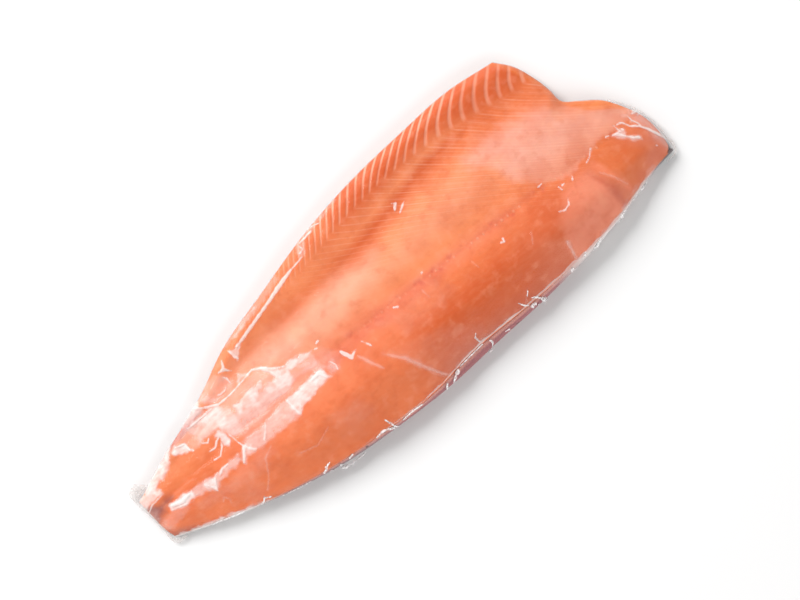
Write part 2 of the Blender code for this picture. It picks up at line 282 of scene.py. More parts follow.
def under_surface(u, row):
    """Outside of the skin: down round the flank from the cut, then under to the belly."""
    under = under_place(row)
    xy = plan_patch(flank_foot, FOOT_TAIL_START, FOOT_HEAD_START, u, under)
    cut, foot = cut_edge(u), flank_foot(u)
    cut_z = cut_height(cut[..., 0])
    depth = (foot - back_edge(u))[..., 1]
    start_angle = np.arccos((foot - cut)[..., 1] / depth)
    angle = start_angle - (np.pi / 2 + start_angle) * np.clip(row / FLANK_ROWS, 0.0, 1.0)
    middle = FLANK_MIDDLE * cut_z
    z = middle + np.where(angle > 0, (cut_z - middle) / np.sin(start_angle), middle) * np.sin(angle)
    outward = np.cos(angle) * (row < FLANK_ROWS)
    xy[..., 1] -= depth * outward
    xy[..., 0] += (cut - foot)[..., 0] * outward
    edges = [distance_to(edge, xy[..., 0], xy[..., 1]) for edge in (belly_edge, tail_end, head_end)]
    lift = RIM_LIFT * (1 - smoothstep(0.0, RIM_LIFT_WIDTH, np.min(edges, axis=0)))
    z = lift + z * (row < FLANK_ROWS) * (1 - lift / cut_z)
    return np.concatenate([xy, z[..., None]], axis=-1)


def normals_of(points):
    """Unit normals of a grid of points: out of a top sheet, and into the fish from one below."""
    normals = np.cross(np.gradient(points, axis=0), np.gradient(points, axis=1))
    return normals / np.linalg.norm(normals, axis=-1, keepdims=True)


def layer_grid(steps, rows):
    """Place from tail to head and row from back to belly, for every point of a layer."""
    t = np.linspace(0.0, 1.0, steps + 1)
    u = (1 - END_CROWDING) * t + END_CROWDING * (1 - np.cos(np.pi * t)) / 2
    return np.meshgrid(u, np.linspace(0.0, ALL_ROWS, rows + 1), indexing="ij")


def lumps(x, y, size, seed):
    """Smooth noise from -1 to 1 whose lumps are about the given size across."""
    knots = np.random.default_rng(seed).uniform(-1.0, 1.0, (LUMP_KNOTS, LUMP_KNOTS))
    i, j = np.floor(x / size).astype(int), np.floor(y / size).astype(int)
    s, t = smoothstep(0.0, 1.0, x / size - i), smoothstep(0.0, 1.0, y / size - j)
    i, next_i = i % LUMP_KNOTS, (i + 1) % LUMP_KNOTS
    j, next_j = j % LUMP_KNOTS, (j + 1) % LUMP_KNOTS
    near = knots[i, j] * (1 - t) + knots[i, next_j] * t
    far = knots[next_i, j] * (1 - t) + knots[next_i, next_j] * t
    return near * (1 - s) + far * s


def depth_in_patch(x, y, outline):
    """How deep each point lies inside a closed outline of (x, y) points, negative outside it."""
    closed = outline + outline[:1]
    inside = np.zeros(np.shape(x), dtype=bool)
    for (x0, y0), (x1, y1) in zip(closed[:-1], closed[1:]):
        if y0 != y1:
            crosses = (y0 > y) != (y1 > y)
            inside ^= crosses & (x < x0 + (x1 - x0) * (y - y0) / (y1 - y0))
    away = -depth_in_stroke(x, y, [(*point, 0.0) for point in closed])
    return np.where(inside, away, -away)


def depth_in_shape(x, y, shape):
    """Depth inside a stroke of (x, y, half width) or a closed outline of (x, y)."""
    return depth_in_stroke(x, y, shape) if len(shape[0]) == 3 else depth_in_patch(x, y, shape)


def rim_of(grid):
    """The vertices round the edge of a grid, in order."""
    first, last = grid[0], grid[-1]
    far_side, near_side = [line[-1] for line in grid[:-1]], [line[0] for line in grid[:0:-1]]
    return first[:-1] + far_side + last[:0:-1] + near_side


def add_points(mesh, points):
    """Adds a grid of points as rows of vertices, moved from the photo's plan to the part's frame."""
    points = (points - np.array([*BOX_CENTRE, 0.0])) * MM
    return [[mesh.verts.new(point) for point in line] for line in points]


def add_grid(mesh, points, upward):
    """Adds a sheet through a grid of points, and gives its rows of vertices."""
    grid = add_points(mesh, points)
    for near, far in zip(grid[:-1], grid[1:]):
        for k in range(len(near) - 1):
            corners = [near[k], far[k], far[k + 1], near[k + 1]]
            mesh.faces.new(corners if upward else corners[::-1])
    return grid


def join_rims(mesh, fine, coarse):
    """Joins the rim of a fine sheet to that of a sheet with every COARSER-th of its points."""
    for k, corner in enumerate(coarse):
        next_corner = coarse[(k + 1) % len(coarse)]
        edge = [fine[(COARSER * k + step) % len(fine)] for step in range(COARSER + 1)]
        middle = COARSER // 2
        for step in range(COARSER):
            held = corner if step < middle else next_corner
            mesh.faces.new([edge[step], edge[step + 1], held])
        mesh.faces.new([edge[middle], next_corner, corner])


def closed_body(top, below):
    """Mesh of a fine sheet on top and a coarse one below it, joined round their rims."""
    mesh = bmesh.new()
    top_rim, rim_below = rim_of(add_grid(mesh, top, True)), rim_of(add_grid(mesh, below, False))
    join_rims(mesh, top_rim, rim_below)
    bmesh.ops.recalc_face_normals(mesh, faces=mesh.faces)
    return mesh


def finish_piece(mesh, name, material, nodes=(), fields=None):
    """Makes the object of a mesh, with its fields of values, material, slot and CAD nodes."""
    data = bpy.data.meshes.new(name)
    mesh.to_mesh(data)
    mesh.free()
    data.shade_smooth()
    for field, values in (fields or {}).items():
        padded = np.full(len(data.vertices), values.min(), dtype=np.float32)
        padded[:values.size] = values.ravel()
        data.attributes.new(field, "FLOAT", "POINT").data.foreach_set("value", padded)
    piece = bpy.data.objects.new(name, data)
    bpy.context.scene.collection.objects.link(piece)
    data.materials.append(material)
    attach(piece, "root")
    if nodes:
        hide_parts(*nodes)
    return piece


# The pale fat lines of the belly band: their numbers where they start at the inner side of the
# band, and how far and in what bend they lean to the head on their way out. Below the band they
# turn back towards the head over the belly wall.
LINE_NUMBERS = [(-600, -140), (-100, -22), (-50, -10), (-1, 0), (25.4, 4), (44.6, 7), (68.4, 10),
                (97, 13), (124, 16), (149.5, 19), (220, 27)]
BAND_INNER = [(-200, -9), (-100, 29), (-60, 37.5), (-20, 45.5), (0, 50), (30, 55), (90, 55.5),
              (130, 51), (150, 49.5), (200, 45)]
LINE_LEAN = [(-100, 6), (-60, 8), (0, 12), (38, 15), (60, 20.5), (80, 22.5), (100, 20.5), (120, 17),
             (132, 16.6), (140, 15), (150, 13), (200, 8)]
LINE_BEND = [(-100, 1), (38, 1.05), (60, 1.15), (80, 1.7), (100, 1.95), (120, 1.95), (135, 1.8),
             (200, 1.6)]
TURNED_LEAN, TURNED_BEND, LINE_WANDER = 1.2, 0.006, 0.4
FLAKE_RELIEF, LOIN_RELIEF, LUMP_RELIEF, RELIEF_FADE = 0.35, 0.5, 0.25, 5.0
GROOVE_RELIEF, GROOVE_HALF = 0.35, 2.2

fine_u, fine_row = layer_grid(LENGTH_STEPS, FINE_ROWS)
coarse_u, coarse_row = fine_u[::COARSER, ::COARSER], fine_row[::COARSER, ::COARSER]


def short_of_tip(u, row):
    """The flesh stops short of the skin's tip at the head end."""
    tip = SKIN_TIP / (BACK_EDGE[-1][0] - BACK_EDGE[0][0])
    return u * (1 - tip * (1 - row / ALL_ROWS) ** 3)


def lines_at(x, y):
    """How far across the side a place is, how far into the band, and its number in fat lines."""
    lines = relief_lines(x)
    across = sum(np.clip((y - lines[:-1]) / np.diff(lines, axis=0), 0.0, 1.0))
    band_inner = smooth_curve(BAND_INNER)(x)
    into_band = (y - band_inner) / (belly_line(x) - band_inner)
    lean = smooth_curve(LINE_LEAN)(x) * np.clip(into_band, 0.0, 1.2) ** smooth_curve(LINE_BEND)(x)
    turned = np.clip(band_inner - y, 0.0, None)
    start_x = x - lean - TURNED_LEAN * turned - TURNED_BEND * turned ** 2
    return across, into_band, smooth_curve(LINE_NUMBERS)(start_x + LINE_WANDER * lumps(x, y, 11.0, 3))


def flesh_relief(u, x, y):
    """Height of the flakes, the pin-bone groove and the unevenness of the top, in millimetres."""
    across, into_band, layer_count = lines_at(x, y)
    flakes = 1.0 - np.abs(2.0 * (layer_count % 1.0) - 1.0) ** 3
    relief = FLAKE_RELIEF * (flakes - 0.5) * (0.15 + 0.85 * smoothstep(0.0, 0.25, into_band))
    relief += LOIN_RELIEF * lumps(x, y, 22.0, 4) * smoothstep(2.2, 1.4, across)
    relief += LUMP_RELIEF * lumps(x, y, 9.0, 5)
    relief -= GROOVE_RELIEF * np.exp(-((y - pin_bone_line(x)) / GROOVE_HALF) ** 2)
    lines = relief_lines(x)
    from_rim = np.minimum(u, 1 - u) * (BACK_EDGE[-1][0] - BACK_EDGE[0][0])
    from_rim = np.minimum(from_rim, np.minimum(y - lines[0], lines[-1] - y))
    return relief * smoothstep(0.0, RELIEF_FADE, from_rim)


flesh_top = top_surface(short_of_tip(fine_u, fine_row), fine_row)
x, y = flesh_top[..., 0], flesh_top[..., 1]
across, into_band, layer_count = lines_at(x, y)

# Zones of colour: a pale wall towards the tail, pale partly as a painted sheen, blood along the
# pin bones, browner flesh at the nape and a darker rim where the side was cut. Each has how wide
# its edge is, how far the edge wanders and the seed of that, and an outline of (x, y) or a stroke of
# (x, y, half width).
ZONE_LUMP_SIZE = 9.0
ZONES = {
    "pale_wall": (9.0, 2.0, 12, [(-108, 14), (-98, 24), (-80, 25), (-50, 26), (-15, 27), (12, 24),
        (2, 14), (-40, 5), (-70, 4), (-92, 5)]),
    "blood_line": (3.5, 2.5, 13, [(-50, -12, 3), (-28, -10, 5), (0, -9, 4), (30, -8, 3), (60, -7, 1),
        (110, -6, 1)]),
    "head_loin": (4.0, 3.0, 14, [(154, -11), (163, -9), (174, -16), (184, -28), (178, -39),
        (164, -41), (158, -34), (154, -24)]),
    "head_light": (2.0, 1.0, 20, [(150, -14, 1), (154, -24, 2.2), (158, -34, 2), (160, -42, 1)]),
    "head_red": (5.0, 3.0, 21, [(94, -10), (112, -8), (122, -13), (124, -20), (112, -30), (108, -42),
        (98, -34), (92, -22)]),
    "head_shade": (4.0, 2.5, 15, [(108, -58), (107, -44), (112, -33), (118, -26), (124, -18),
        (138, -15), (146, -18), (149, -30), (150, -52)]),
    "head_seam": (2.2, 0.8, 22, [(144, -18, 0.6), (148.4, -27, 1.6), (150.6, -36, 2), (152, -50, 1.6)]),
    "tail_stain": (2.5, 3.0, 16, [(-199, -12), (-192, -13.6), (-184, -14.6), (-178, -17.4),
        (-184, -20.4), (-188, -23.6), (-196, -23)]),
    "tail_corner": (3.0, 2.0, 23, [(-203, -31), (-194, -31.5), (-186, -35), (-180, -40), (-190, -44),
        (-203, -42)]),
    "tail_side": (1.5, 1.0, 17, [(-172, 4, 2), (-155, 10.5, 3), (-145, 12.5, 2.5), (-135, 15, 2)]),
    "nape_rim": (1.5, 1.0, 18, [(160, 29, 2.4), (166, 23.4, 4.4), (174, 16.4, 5), (182, 10, 4.6),
        (188, 4, 2.6)]),
    "flap_rim": (1.2, 1.0, 19, [(139, 76, 3), (149, 66, 4), (155, 54, 4), (159, 42, 3.5),
        (160, 32, 2.5)]),
}
# Pale membrane is left on the belly wall near the head. It ends sharply along the pin bones, and
# elsewhere in streaks that follow the muscle.
MEMBRANE = [(92, 33), (98, 23), (104, 12), (110, 3), (117, -5), (123, -9.5), (138, -13), (148, -11),
            (156, -7), (168, -6.5), (182, -6), (192, -2), (184, 4), (171, 12), (158, 22), (150, 31),
            (138, 37), (118, 39), (100, 39)]
MEMBRANE_LUMPS, MEMBRANE_FRINGE, MEMBRANE_STREAKS = 1.6, 1.5, 3.5

up_from_bones = smoothstep(-8.0, 14.0, y)
membrane_streaks = lumps((x - y) * 0.2, x + y, 4.0, 24) * up_from_bones
membrane_depth = depth_in_patch(x, y, MEMBRANE) + MEMBRANE_LUMPS * lumps(x, y, 7.0, 11)
membrane_depth += MEMBRANE_FRINGE * lumps(x, y, 2.6, 25) + MEMBRANE_STREAKS * membrane_streaks
membrane = smoothstep(-1.2 - 6.0 * up_from_bones, 1.8 + 8.5 * up_from_bones, membrane_depth)

flesh_fields = {"across": across, "along": x, "layer_count": layer_count, "into_band": into_band,
                "off_pin_bones": y - pin_bone_line(x),
                "membrane": (0.55 + 0.45 * up_from_bones) * membrane}
for zone, (edge, wander, seed, shape) in ZONES.items():
    depth = depth_in_shape(x, y, shape) + wander * lumps(x, y, ZONE_LUMP_SIZE, seed)
    flesh_fields[zone] = smoothstep(-edge, edge, depth)
flesh_top[..., 2] += flesh_relief(fine_u, x, y)


class Wire:
    """A socket in a material: arithmetic on it adds Math nodes, and node() adds any other."""

    def __init__(self, tree, socket=None):
        self.tree, self.socket = tree, socket

    def node(self, kind, settings=None, sockets=None, output=0):
        """Adds a node, with its settings first and then the values or wires of its sockets.

        A colour is given by three numbers, and a ramp's stops are the setting "stops".
        """
        made = self.tree.nodes.new(kind)
        for name, value in (settings or {}).items():
            if name == "stops":
                elements = made.color_ramp.elements
                elements.remove(elements[1])
                elements[0].position, elements[0].color = value[0][0], (*value[0][1], 1.0)
                for position, colour in value[1:]:
                    elements.new(position).color = (*colour, 1.0)
            else:
                setattr(made, name, value)
        for key, value in (sockets or {}).items():
            if isinstance(value, Wire):
                self.tree.links.new(value.socket, made.inputs[key])
            else:
                is_colour = made.inputs[key].type == "RGBA"
                made.inputs[key].default_value = (*value, 1.0) if is_colour else value
        return Wire(self.tree, made.outputs[output])

    def math(self, operation, other=None, swapped=False):
        """A Math node on this wire, alone or with another wire or number after or before it."""
        values = [self] if other is None else [other, self] if swapped else [self, other]
        return self.node("ShaderNodeMath", {"operation": operation}, dict(enumerate(values)))

    def __add__(self, other):
        return self.math("ADD", other)

    def __sub__(self, other):
        return self.math("SUBTRACT", other)

    def __rsub__(self, other):
        return self.math("SUBTRACT", other, swapped=True)

    def __mul__(self, other):
        return self.math("MULTIPLY", other)

    def __truediv__(self, other):
        return self.math("DIVIDE", other)

    def __pow__(self, other):
        return self.math("POWER", other)

    __radd__, __rmul__ = __add__, __mul__

    def field(self, name):
        """A field of values that the mesh carries."""
        settings = {"attribute_type": "GEOMETRY", "attribute_name": name}
        return self.node("ShaderNodeAttribute", settings, output=2)

    def place(self):
        """The place on the piece, in millimetres."""
        metres = self.node("ShaderNodeTexCoord", output=3)
        return self.node("ShaderNodeVectorMath", {"operation": "SCALE"}, {0: metres, "Scale": 1.0 / MM})

    def noise(self, place, size, detail=2.0):
        """Noise from 0 to 1 whose lumps are about the given size in millimetres."""
        sockets = {"Vector": place, "Scale": 0.5 / size, "Detail": detail}
        return self.node("ShaderNodeTexNoise", None, sockets)

    def stretched(self, place, x, y, z):
        return self.node("ShaderNodeVectorMath", {"operation": "MULTIPLY"}, {0: place, 1: (x, y, z)})

    def rise(self, low, high):
        """0 below low, 1 above high and a smooth rise between them."""
        sockets = {"Value": self, "From Min": low, "From Max": high}
        return self.node("ShaderNodeMapRange", {"interpolation_type": "SMOOTHSTEP"}, sockets)

    def tint(self, under, over):
        """One colour over another by the amount on this wire."""
        return self.node("ShaderNodeMix", {"data_type": "RGBA"}, {0: self, 6: under, 7: over}, 2)

    def ramp(self, stops):
        """Colour by the value on this wire, through stops of (value, colour)."""
        return self.node("ShaderNodeValToRGB", {"stops": stops}, {0: self})

    def bump(self, height):
        """Normal of a surface raised by a height in millimetres."""
        return self.node("ShaderNodeBump", None, {"Distance": MM, "Height": height})

    def finish(self, shader, output="Material Output"):
        """Makes a shader the surface of the material, or of the world around the pack."""
        self.tree.links.new(shader.socket, self.tree.nodes[output].inputs["Surface"])


def laid_over(colour, layers):
    """A colour with others laid over it in turn, each by its own amount."""
    for amount, tone in layers:
        colour = amount.tint(colour, tone)
    return colour


def start_material(name):
    material = bpy.data.materials.new(name)
    material.use_nodes = True
    tree = material.node_tree
    tree.nodes.remove(tree.nodes["Principled BSDF"])
    return material, Wire(tree)


# Colours of the flesh, and how they follow each other from the cut along the back to the
# belly's edge, as (line of relief, colour), at the tail, behind the middle, at it and at the head.
RELIEF_LINES = 6
ORANGE, DEEP_ORANGE, LIGHT_ORANGE = (0.70, 0.170, 0.062), (0.60, 0.110, 0.034), (0.76, 0.235, 0.100)
LOIN_ORANGE, CREST_BROWN_AND_SHADE, CUT_BROWN_AND_SHADE = (0.76, 0.195, 0.080), (0.58, 0.108, 0.034), (0.50, 0.135, 0.080)
HEAD_BROWN, SALMON, PALE_SALMON = (0.62, 0.165, 0.085), (0.76, 0.215, 0.110), (0.74, 0.36, 0.24)
WALL_SALMON = (0.76, 0.280, 0.150)
TAIL_ACROSS = [(0.0, LOIN_ORANGE), (2.0, ORANGE), (4.0, LIGHT_ORANGE), (6.0, PALE_SALMON)]
REAR_ACROSS = [(0.0, ORANGE), (0.5, ORANGE), (1.0, LOIN_ORANGE), (2.0, SALMON), (3.0, WALL_SALMON),
               (3.5, SALMON), (4.0, ORANGE), (4.6, LIGHT_ORANGE), (6.0, ORANGE)]
# At the middle the browns from the cut over the crest are partly painted shade on the slope  turned
# from the light, and the deep orange at the trough is partly painted shade there.
MIDDLE_ACROSS = [(0.0, CUT_BROWN_AND_SHADE), (0.45, CREST_BROWN_AND_SHADE), (1.1, CREST_BROWN_AND_SHADE), (1.6, ORANGE),
                 (2.0, SALMON), (2.4, LIGHT_ORANGE), (3.0, WALL_SALMON), (3.6, LIGHT_ORANGE),
                 (4.0, DEEP_ORANGE), (4.35, LIGHT_ORANGE), (5.0, DEEP_ORANGE), (6.0, DEEP_ORANGE)]
HEAD_ACROSS = [(0.0, HEAD_BROWN), (1.0, HEAD_BROWN), (2.0, ORANGE), (3.0, LIGHT_ORANGE), (4.0, ORANGE),
               (4.6, DEEP_ORANGE), (6.0, DEEP_ORANGE)]
MEMBRANE_PINK, FAT_PALE, FLAKE_PALE = (0.74, 0.35, 0.27), (0.82, 0.44, 0.32), (0.80, 0.42, 0.30)
BLOOD_RED, SHADE_BROWN, HEAD_ORANGE = (0.55, 0.09, 0.065), (0.76, 0.245, 0.150), (0.66, 0.155, 0.050)
STAIN_PURPLE, SIDE_PURPLE, RIM_ORANGE = (0.25, 0.085, 0.075), (0.42, 0.13, 0.11), (0.72, 0.18, 0.035)
SEAM_BROWN, CORNER_BROWN = (0.52, 0.115, 0.065), (0.38, 0.10, 0.07)
BONE_PALE, FIBRE_PALE = (0.78, 0.36, 0.24), (0.72, 0.30, 0.16)
BLOTCH_PALE, BLOTCH_DEEP = (0.82, 0.34, 0.21), (0.50, 0.085, 0.026)
# Each zone's colour and how strongly it covers what is under it, in the order they are laid.
ZONE_COLOURS = [
    # The pale wall's paleness is partly a painted sheen.
    ("pale_wall", PALE_SALMON, 0.85), ("head_red", DEEP_ORANGE, 0.6), ("membrane", MEMBRANE_PINK, 0.9),
    ("head_shade", SHADE_BROWN, 0.8), ("head_loin", HEAD_ORANGE, 0.9), ("head_light", SALMON, 0.8),
    ("head_seam", SEAM_BROWN, 0.7), ("blood_line", BLOOD_RED, 0.3), ("tail_side", SIDE_PURPLE, 0.9),
    ("nape_rim", RIM_ORANGE, 0.9), ("flap_rim", RIM_ORANGE, 0.5), ("tail_corner", CORNER_BROWN, 0.8),
    ("tail_stain", STAIN_PURPLE, 1.0)]
FINE_LINES_A_LINE, BONE_SPACING = 2.5, 4.6
MOTTLE_SIZE, BLOTCH_SIZE, FIBRE_SIZE = 9.0, 3.6, 1.1
TAIL_TO_REAR, REAR_TO_MIDDLE, MIDDLE_TO_HEAD = (-160.0, -90.0), (-30.0, 25.0), (66.0, 122.0)
SCATTERING, SCATTER_RADIUS, SCATTER_DEPTH = 0.12, (1.0, 0.3, 0.15), 2.0


def make_flesh_material():
    material, flesh = start_material("trout_flesh")
    place = flesh.place()
    across = flesh.field("across") / RELIEF_LINES
    along = flesh.field("along")
    mottle = flesh.noise(place, MOTTLE_SIZE, 3.0)
    blotches = flesh.noise(place, BLOTCH_SIZE, 4.0)
    fibre = flesh.noise(flesh.stretched(place, 0.35, 1.0, 1.0), FIBRE_SIZE, 3.0)

    def ramp_over(colours):
        return across.ramp([(line / RELIEF_LINES, colour) for line, colour in colours])

    colour = along.rise(*TAIL_TO_REAR).tint(ramp_over(TAIL_ACROSS), ramp_over(REAR_ACROSS))
    # The middle's ramp paints part of the shade on the back slope and in the trough.
    colour = along.rise(*REAR_TO_MIDDLE).tint(colour, ramp_over(MIDDLE_ACROSS))
    colour = along.rise(*MIDDLE_TO_HEAD).tint(colour, ramp_over(HEAD_ACROSS))

    into_band = flesh.field("into_band")
    layer_count = flesh.field("layer_count")
    from_line = ((layer_count + 0.5).math("FRACT") - 0.5).math("ABSOLUTE")
    broken = flesh.noise(place, 3.0, 2.0).rise(0.2, 0.5)
    in_band = into_band.rise(-0.04, 0.14) * along.rise(-70.0, 0.0)
    outward = into_band.rise(0.25, 0.8) * (1 - along.rise(95.0, 120.0))
    band_lines = (1 - from_line.rise(0.04, 0.24)) * in_band * (0.75 + 0.25 * broken)
    on_wall = (1 - into_band.rise(-0.1, 0.05)) * into_band.rise(-3.6, -1.6)
    wall_lines = (1 - from_line.rise(0.02, 0.15)) * on_wall * broken * along.rise(-60.0, 10.0)

    from_fine_line = ((layer_count * FINE_LINES_A_LINE).math("FRACT") - 0.5).math("ABSOLUTE")
    over_wall = flesh.field("membrane") * 0.6 + on_wall * along.rise(10.0, 60.0) * 0.5
    patchy = flesh.noise(place, 7.0, 3.0).rise(0.35, 0.65)
    fine_lines = (1 - from_fine_line.rise(0.02, 0.3)) * (0.15 + 0.45 * broken + 0.4 * patchy)

    off_pin_bones = flesh.field("off_pin_bones").math("ABSOLUTE")
    from_bone = ((along / BONE_SPACING).math("FRACT") - 0.5).math("ABSOLUTE")
    bone_dots = from_bone.rise(0.24, 0.06) * flesh.noise(place, 5.0).rise(0.35, 0.6)
    bone_dots = bone_dots * off_pin_bones.rise(1.3, 0.2) * along.rise(-60.0, 30.0)
    blood_spots = flesh.noise(place, 3.4, 1.0).rise(0.56, 0.70) * along.rise(-60.0, -30.0)
    blood_spots = blood_spots * off_pin_bones.rise(5.0, 1.0)

    colour = laid_over(colour, [(flesh.field(zone) * strength, tone)
                                for zone, tone, strength in ZONE_COLOURS])
    colour = laid_over(colour, [
        (band_lines * (0.42 + 0.34 * outward), FAT_PALE), (wall_lines * 0.25, FLAKE_PALE),
        (fine_lines * over_wall * 0.3, FLAKE_PALE), (bone_dots * 0.5, BONE_PALE),
        (blood_spots * 0.45, BLOOD_RED), (blotches.rise(0.52, 0.7) * 0.22, BLOTCH_PALE),
        ((1 - blotches).rise(0.52, 0.7) * 0.22, BLOTCH_DEEP),
        (mottle.rise(0.35, 0.7) * 0.3, BLOTCH_DEEP), (fibre.rise(0.35, 0.75) * 0.12, FIBRE_PALE)])

    height = fibre * 0.10 + mottle * 0.25 + blotches * 0.15 + bone_dots * 0.25 - band_lines * 0.12
    sockets = {"Base Color": colour, "Roughness": 0.42 + 0.12 * fibre, "Normal": flesh.bump(height),
               "Subsurface Weight": SCATTERING, "Subsurface Radius": SCATTER_RADIUS,
               "Subsurface Scale": SCATTER_DEPTH * MM, "Specular IOR Level": 0.25}
    flesh.finish(flesh.node("ShaderNodeBsdfPrincipled", None, sockets))
    return material


flesh_below = under_surface(short_of_tip(coarse_u, coarse_row), coarse_row)
# At the cut the flesh reaches out over the edge of the skin, so that no groove is left there.
inward = np.where(coarse_row == 0, CUT_LIP, SKIN_ALLOWANCE + LAYER_GAP)
flesh_below = flesh_below + inward[..., None] * normals_of(flesh_below)
flesh_body = closed_body(flesh_top, flesh_below)
finish_piece(flesh_body, "flesh_side", make_flesh_material(), ["flesh"], flesh_fields)


# Skin: the fish's own scaled skin, left on the fillet. It is dark grey with a purple cast on the
# back and silver towards the belly. It runs under the flesh, and shows from above only where the
# flank bulges past the cut and at the tip it keeps at the head end.
SKIN_INSET, SKIN_THICKNESS, SCALE_SIZE = 0.25, 1.0, 1.5
SKIN_BACK, SKIN_RED, SKIN_SILVER = (0.14, 0.115, 0.115), (0.40, 0.105, 0.115), (0.52, 0.47, 0.46)
SKIN_PURPLE, SKIN_CUT = (0.34, 0.20, 0.21), (0.64, 0.27, 0.22)
SPOT_BLACK, SCALE_SHADE = (0.02, 0.018, 0.02), (0.05, 0.04, 0.045)
SKIN_LENGTH_STEPS, SKIN_ROWS = 320, 102

skin_u, skin_row = layer_grid(SKIN_LENGTH_STEPS, SKIN_ROWS)
skin_outside = under_surface(skin_u, skin_row)
skin_outside = skin_outside + SKIN_INSET * normals_of(skin_outside)
skin_fields = {"along": skin_outside[..., 0], "down_flank": skin_row / FLANK_ROWS,
               "to_belly": under_place(skin_row)}


def make_skin_material():
    material, skin = start_material("trout_skin")
    place = skin.place()
    along, down, to_belly = skin.field("along"), skin.field("down_flank"), skin.field("to_belly")
    scales = {"Vector": skin.stretched(place, 0.8, 1.0, 1.0), "Scale": 1.0 / SCALE_SIZE}
    from_edge = skin.node("ShaderNodeTexVoronoi", {"feature": "DISTANCE_TO_EDGE"}, scales)
    scale_edge = from_edge.rise(0.0, 0.16)
    tone = skin.noise(place, 7.0, 3.0)
    colour = to_belly.rise(0.25, 0.75).tint(SKIN_BACK, SKIN_SILVER)
    through_film = along.rise(-70.0, -30.0).tint(SKIN_PURPLE, SKIN_RED)
    reddened = (1 - down.rise(0.6, 1.1)) * (1 - along.rise(176.0, 186.0))
    cut_rim = (1 - down.rise(0.06, 0.15)) * (1 - along.rise(176.0, 184.0))
    spots = skin.noise(place, 4.0, 1.0).rise(0.68, 0.74) * (1 - to_belly.rise(0.2, 0.5))
    colour = laid_over(colour, [(reddened * (0.75 + 0.25 * tone), through_film), (cut_rim, SKIN_CUT),
                                (spots * 0.7, SPOT_BLACK), ((1 - scale_edge) * 0.25, SCALE_SHADE)])
    sockets = {"Base Color": colour, "Roughness": 0.38 + 0.2 * tone,
               "Metallic": to_belly.rise(0.2, 0.9) * 0.25,
               "Normal": skin.bump(scale_edge * 0.12 + tone * 0.2)}
    skin.finish(skin.node("ShaderNodeBsdfPrincipled", None, sockets))
    return material


def thicken(piece, thickness, side):
    """Gives a sheet a thickness in millimetres, on its inner side at -1 and on both at 0."""
    solid = piece.modifiers.new("thickness", "SOLIDIFY")
    solid.thickness = thickness * MM
    solid.offset = side


mesh = bmesh.new()
add_grid(mesh, skin_outside, False)
skin_piece = finish_piece(mesh, "skin_layer", make_skin_material(), ["skin"], skin_fields)
thicken(skin_piece, SKIN_THICKNESS, -1.0)

# Shrink film: one sleeve of clear film, drawn tight round the whole side by heat and air. It
# clings to the flesh, and where it has let go, towards the tail, it lies in pale flat patches
# with sharp edges, pale partly as milky film and partly as painted glare of the light it
# mirrors. Creases run from there to both edges.
FILM_GAP, FILM_SINK = 0.35, 0.02
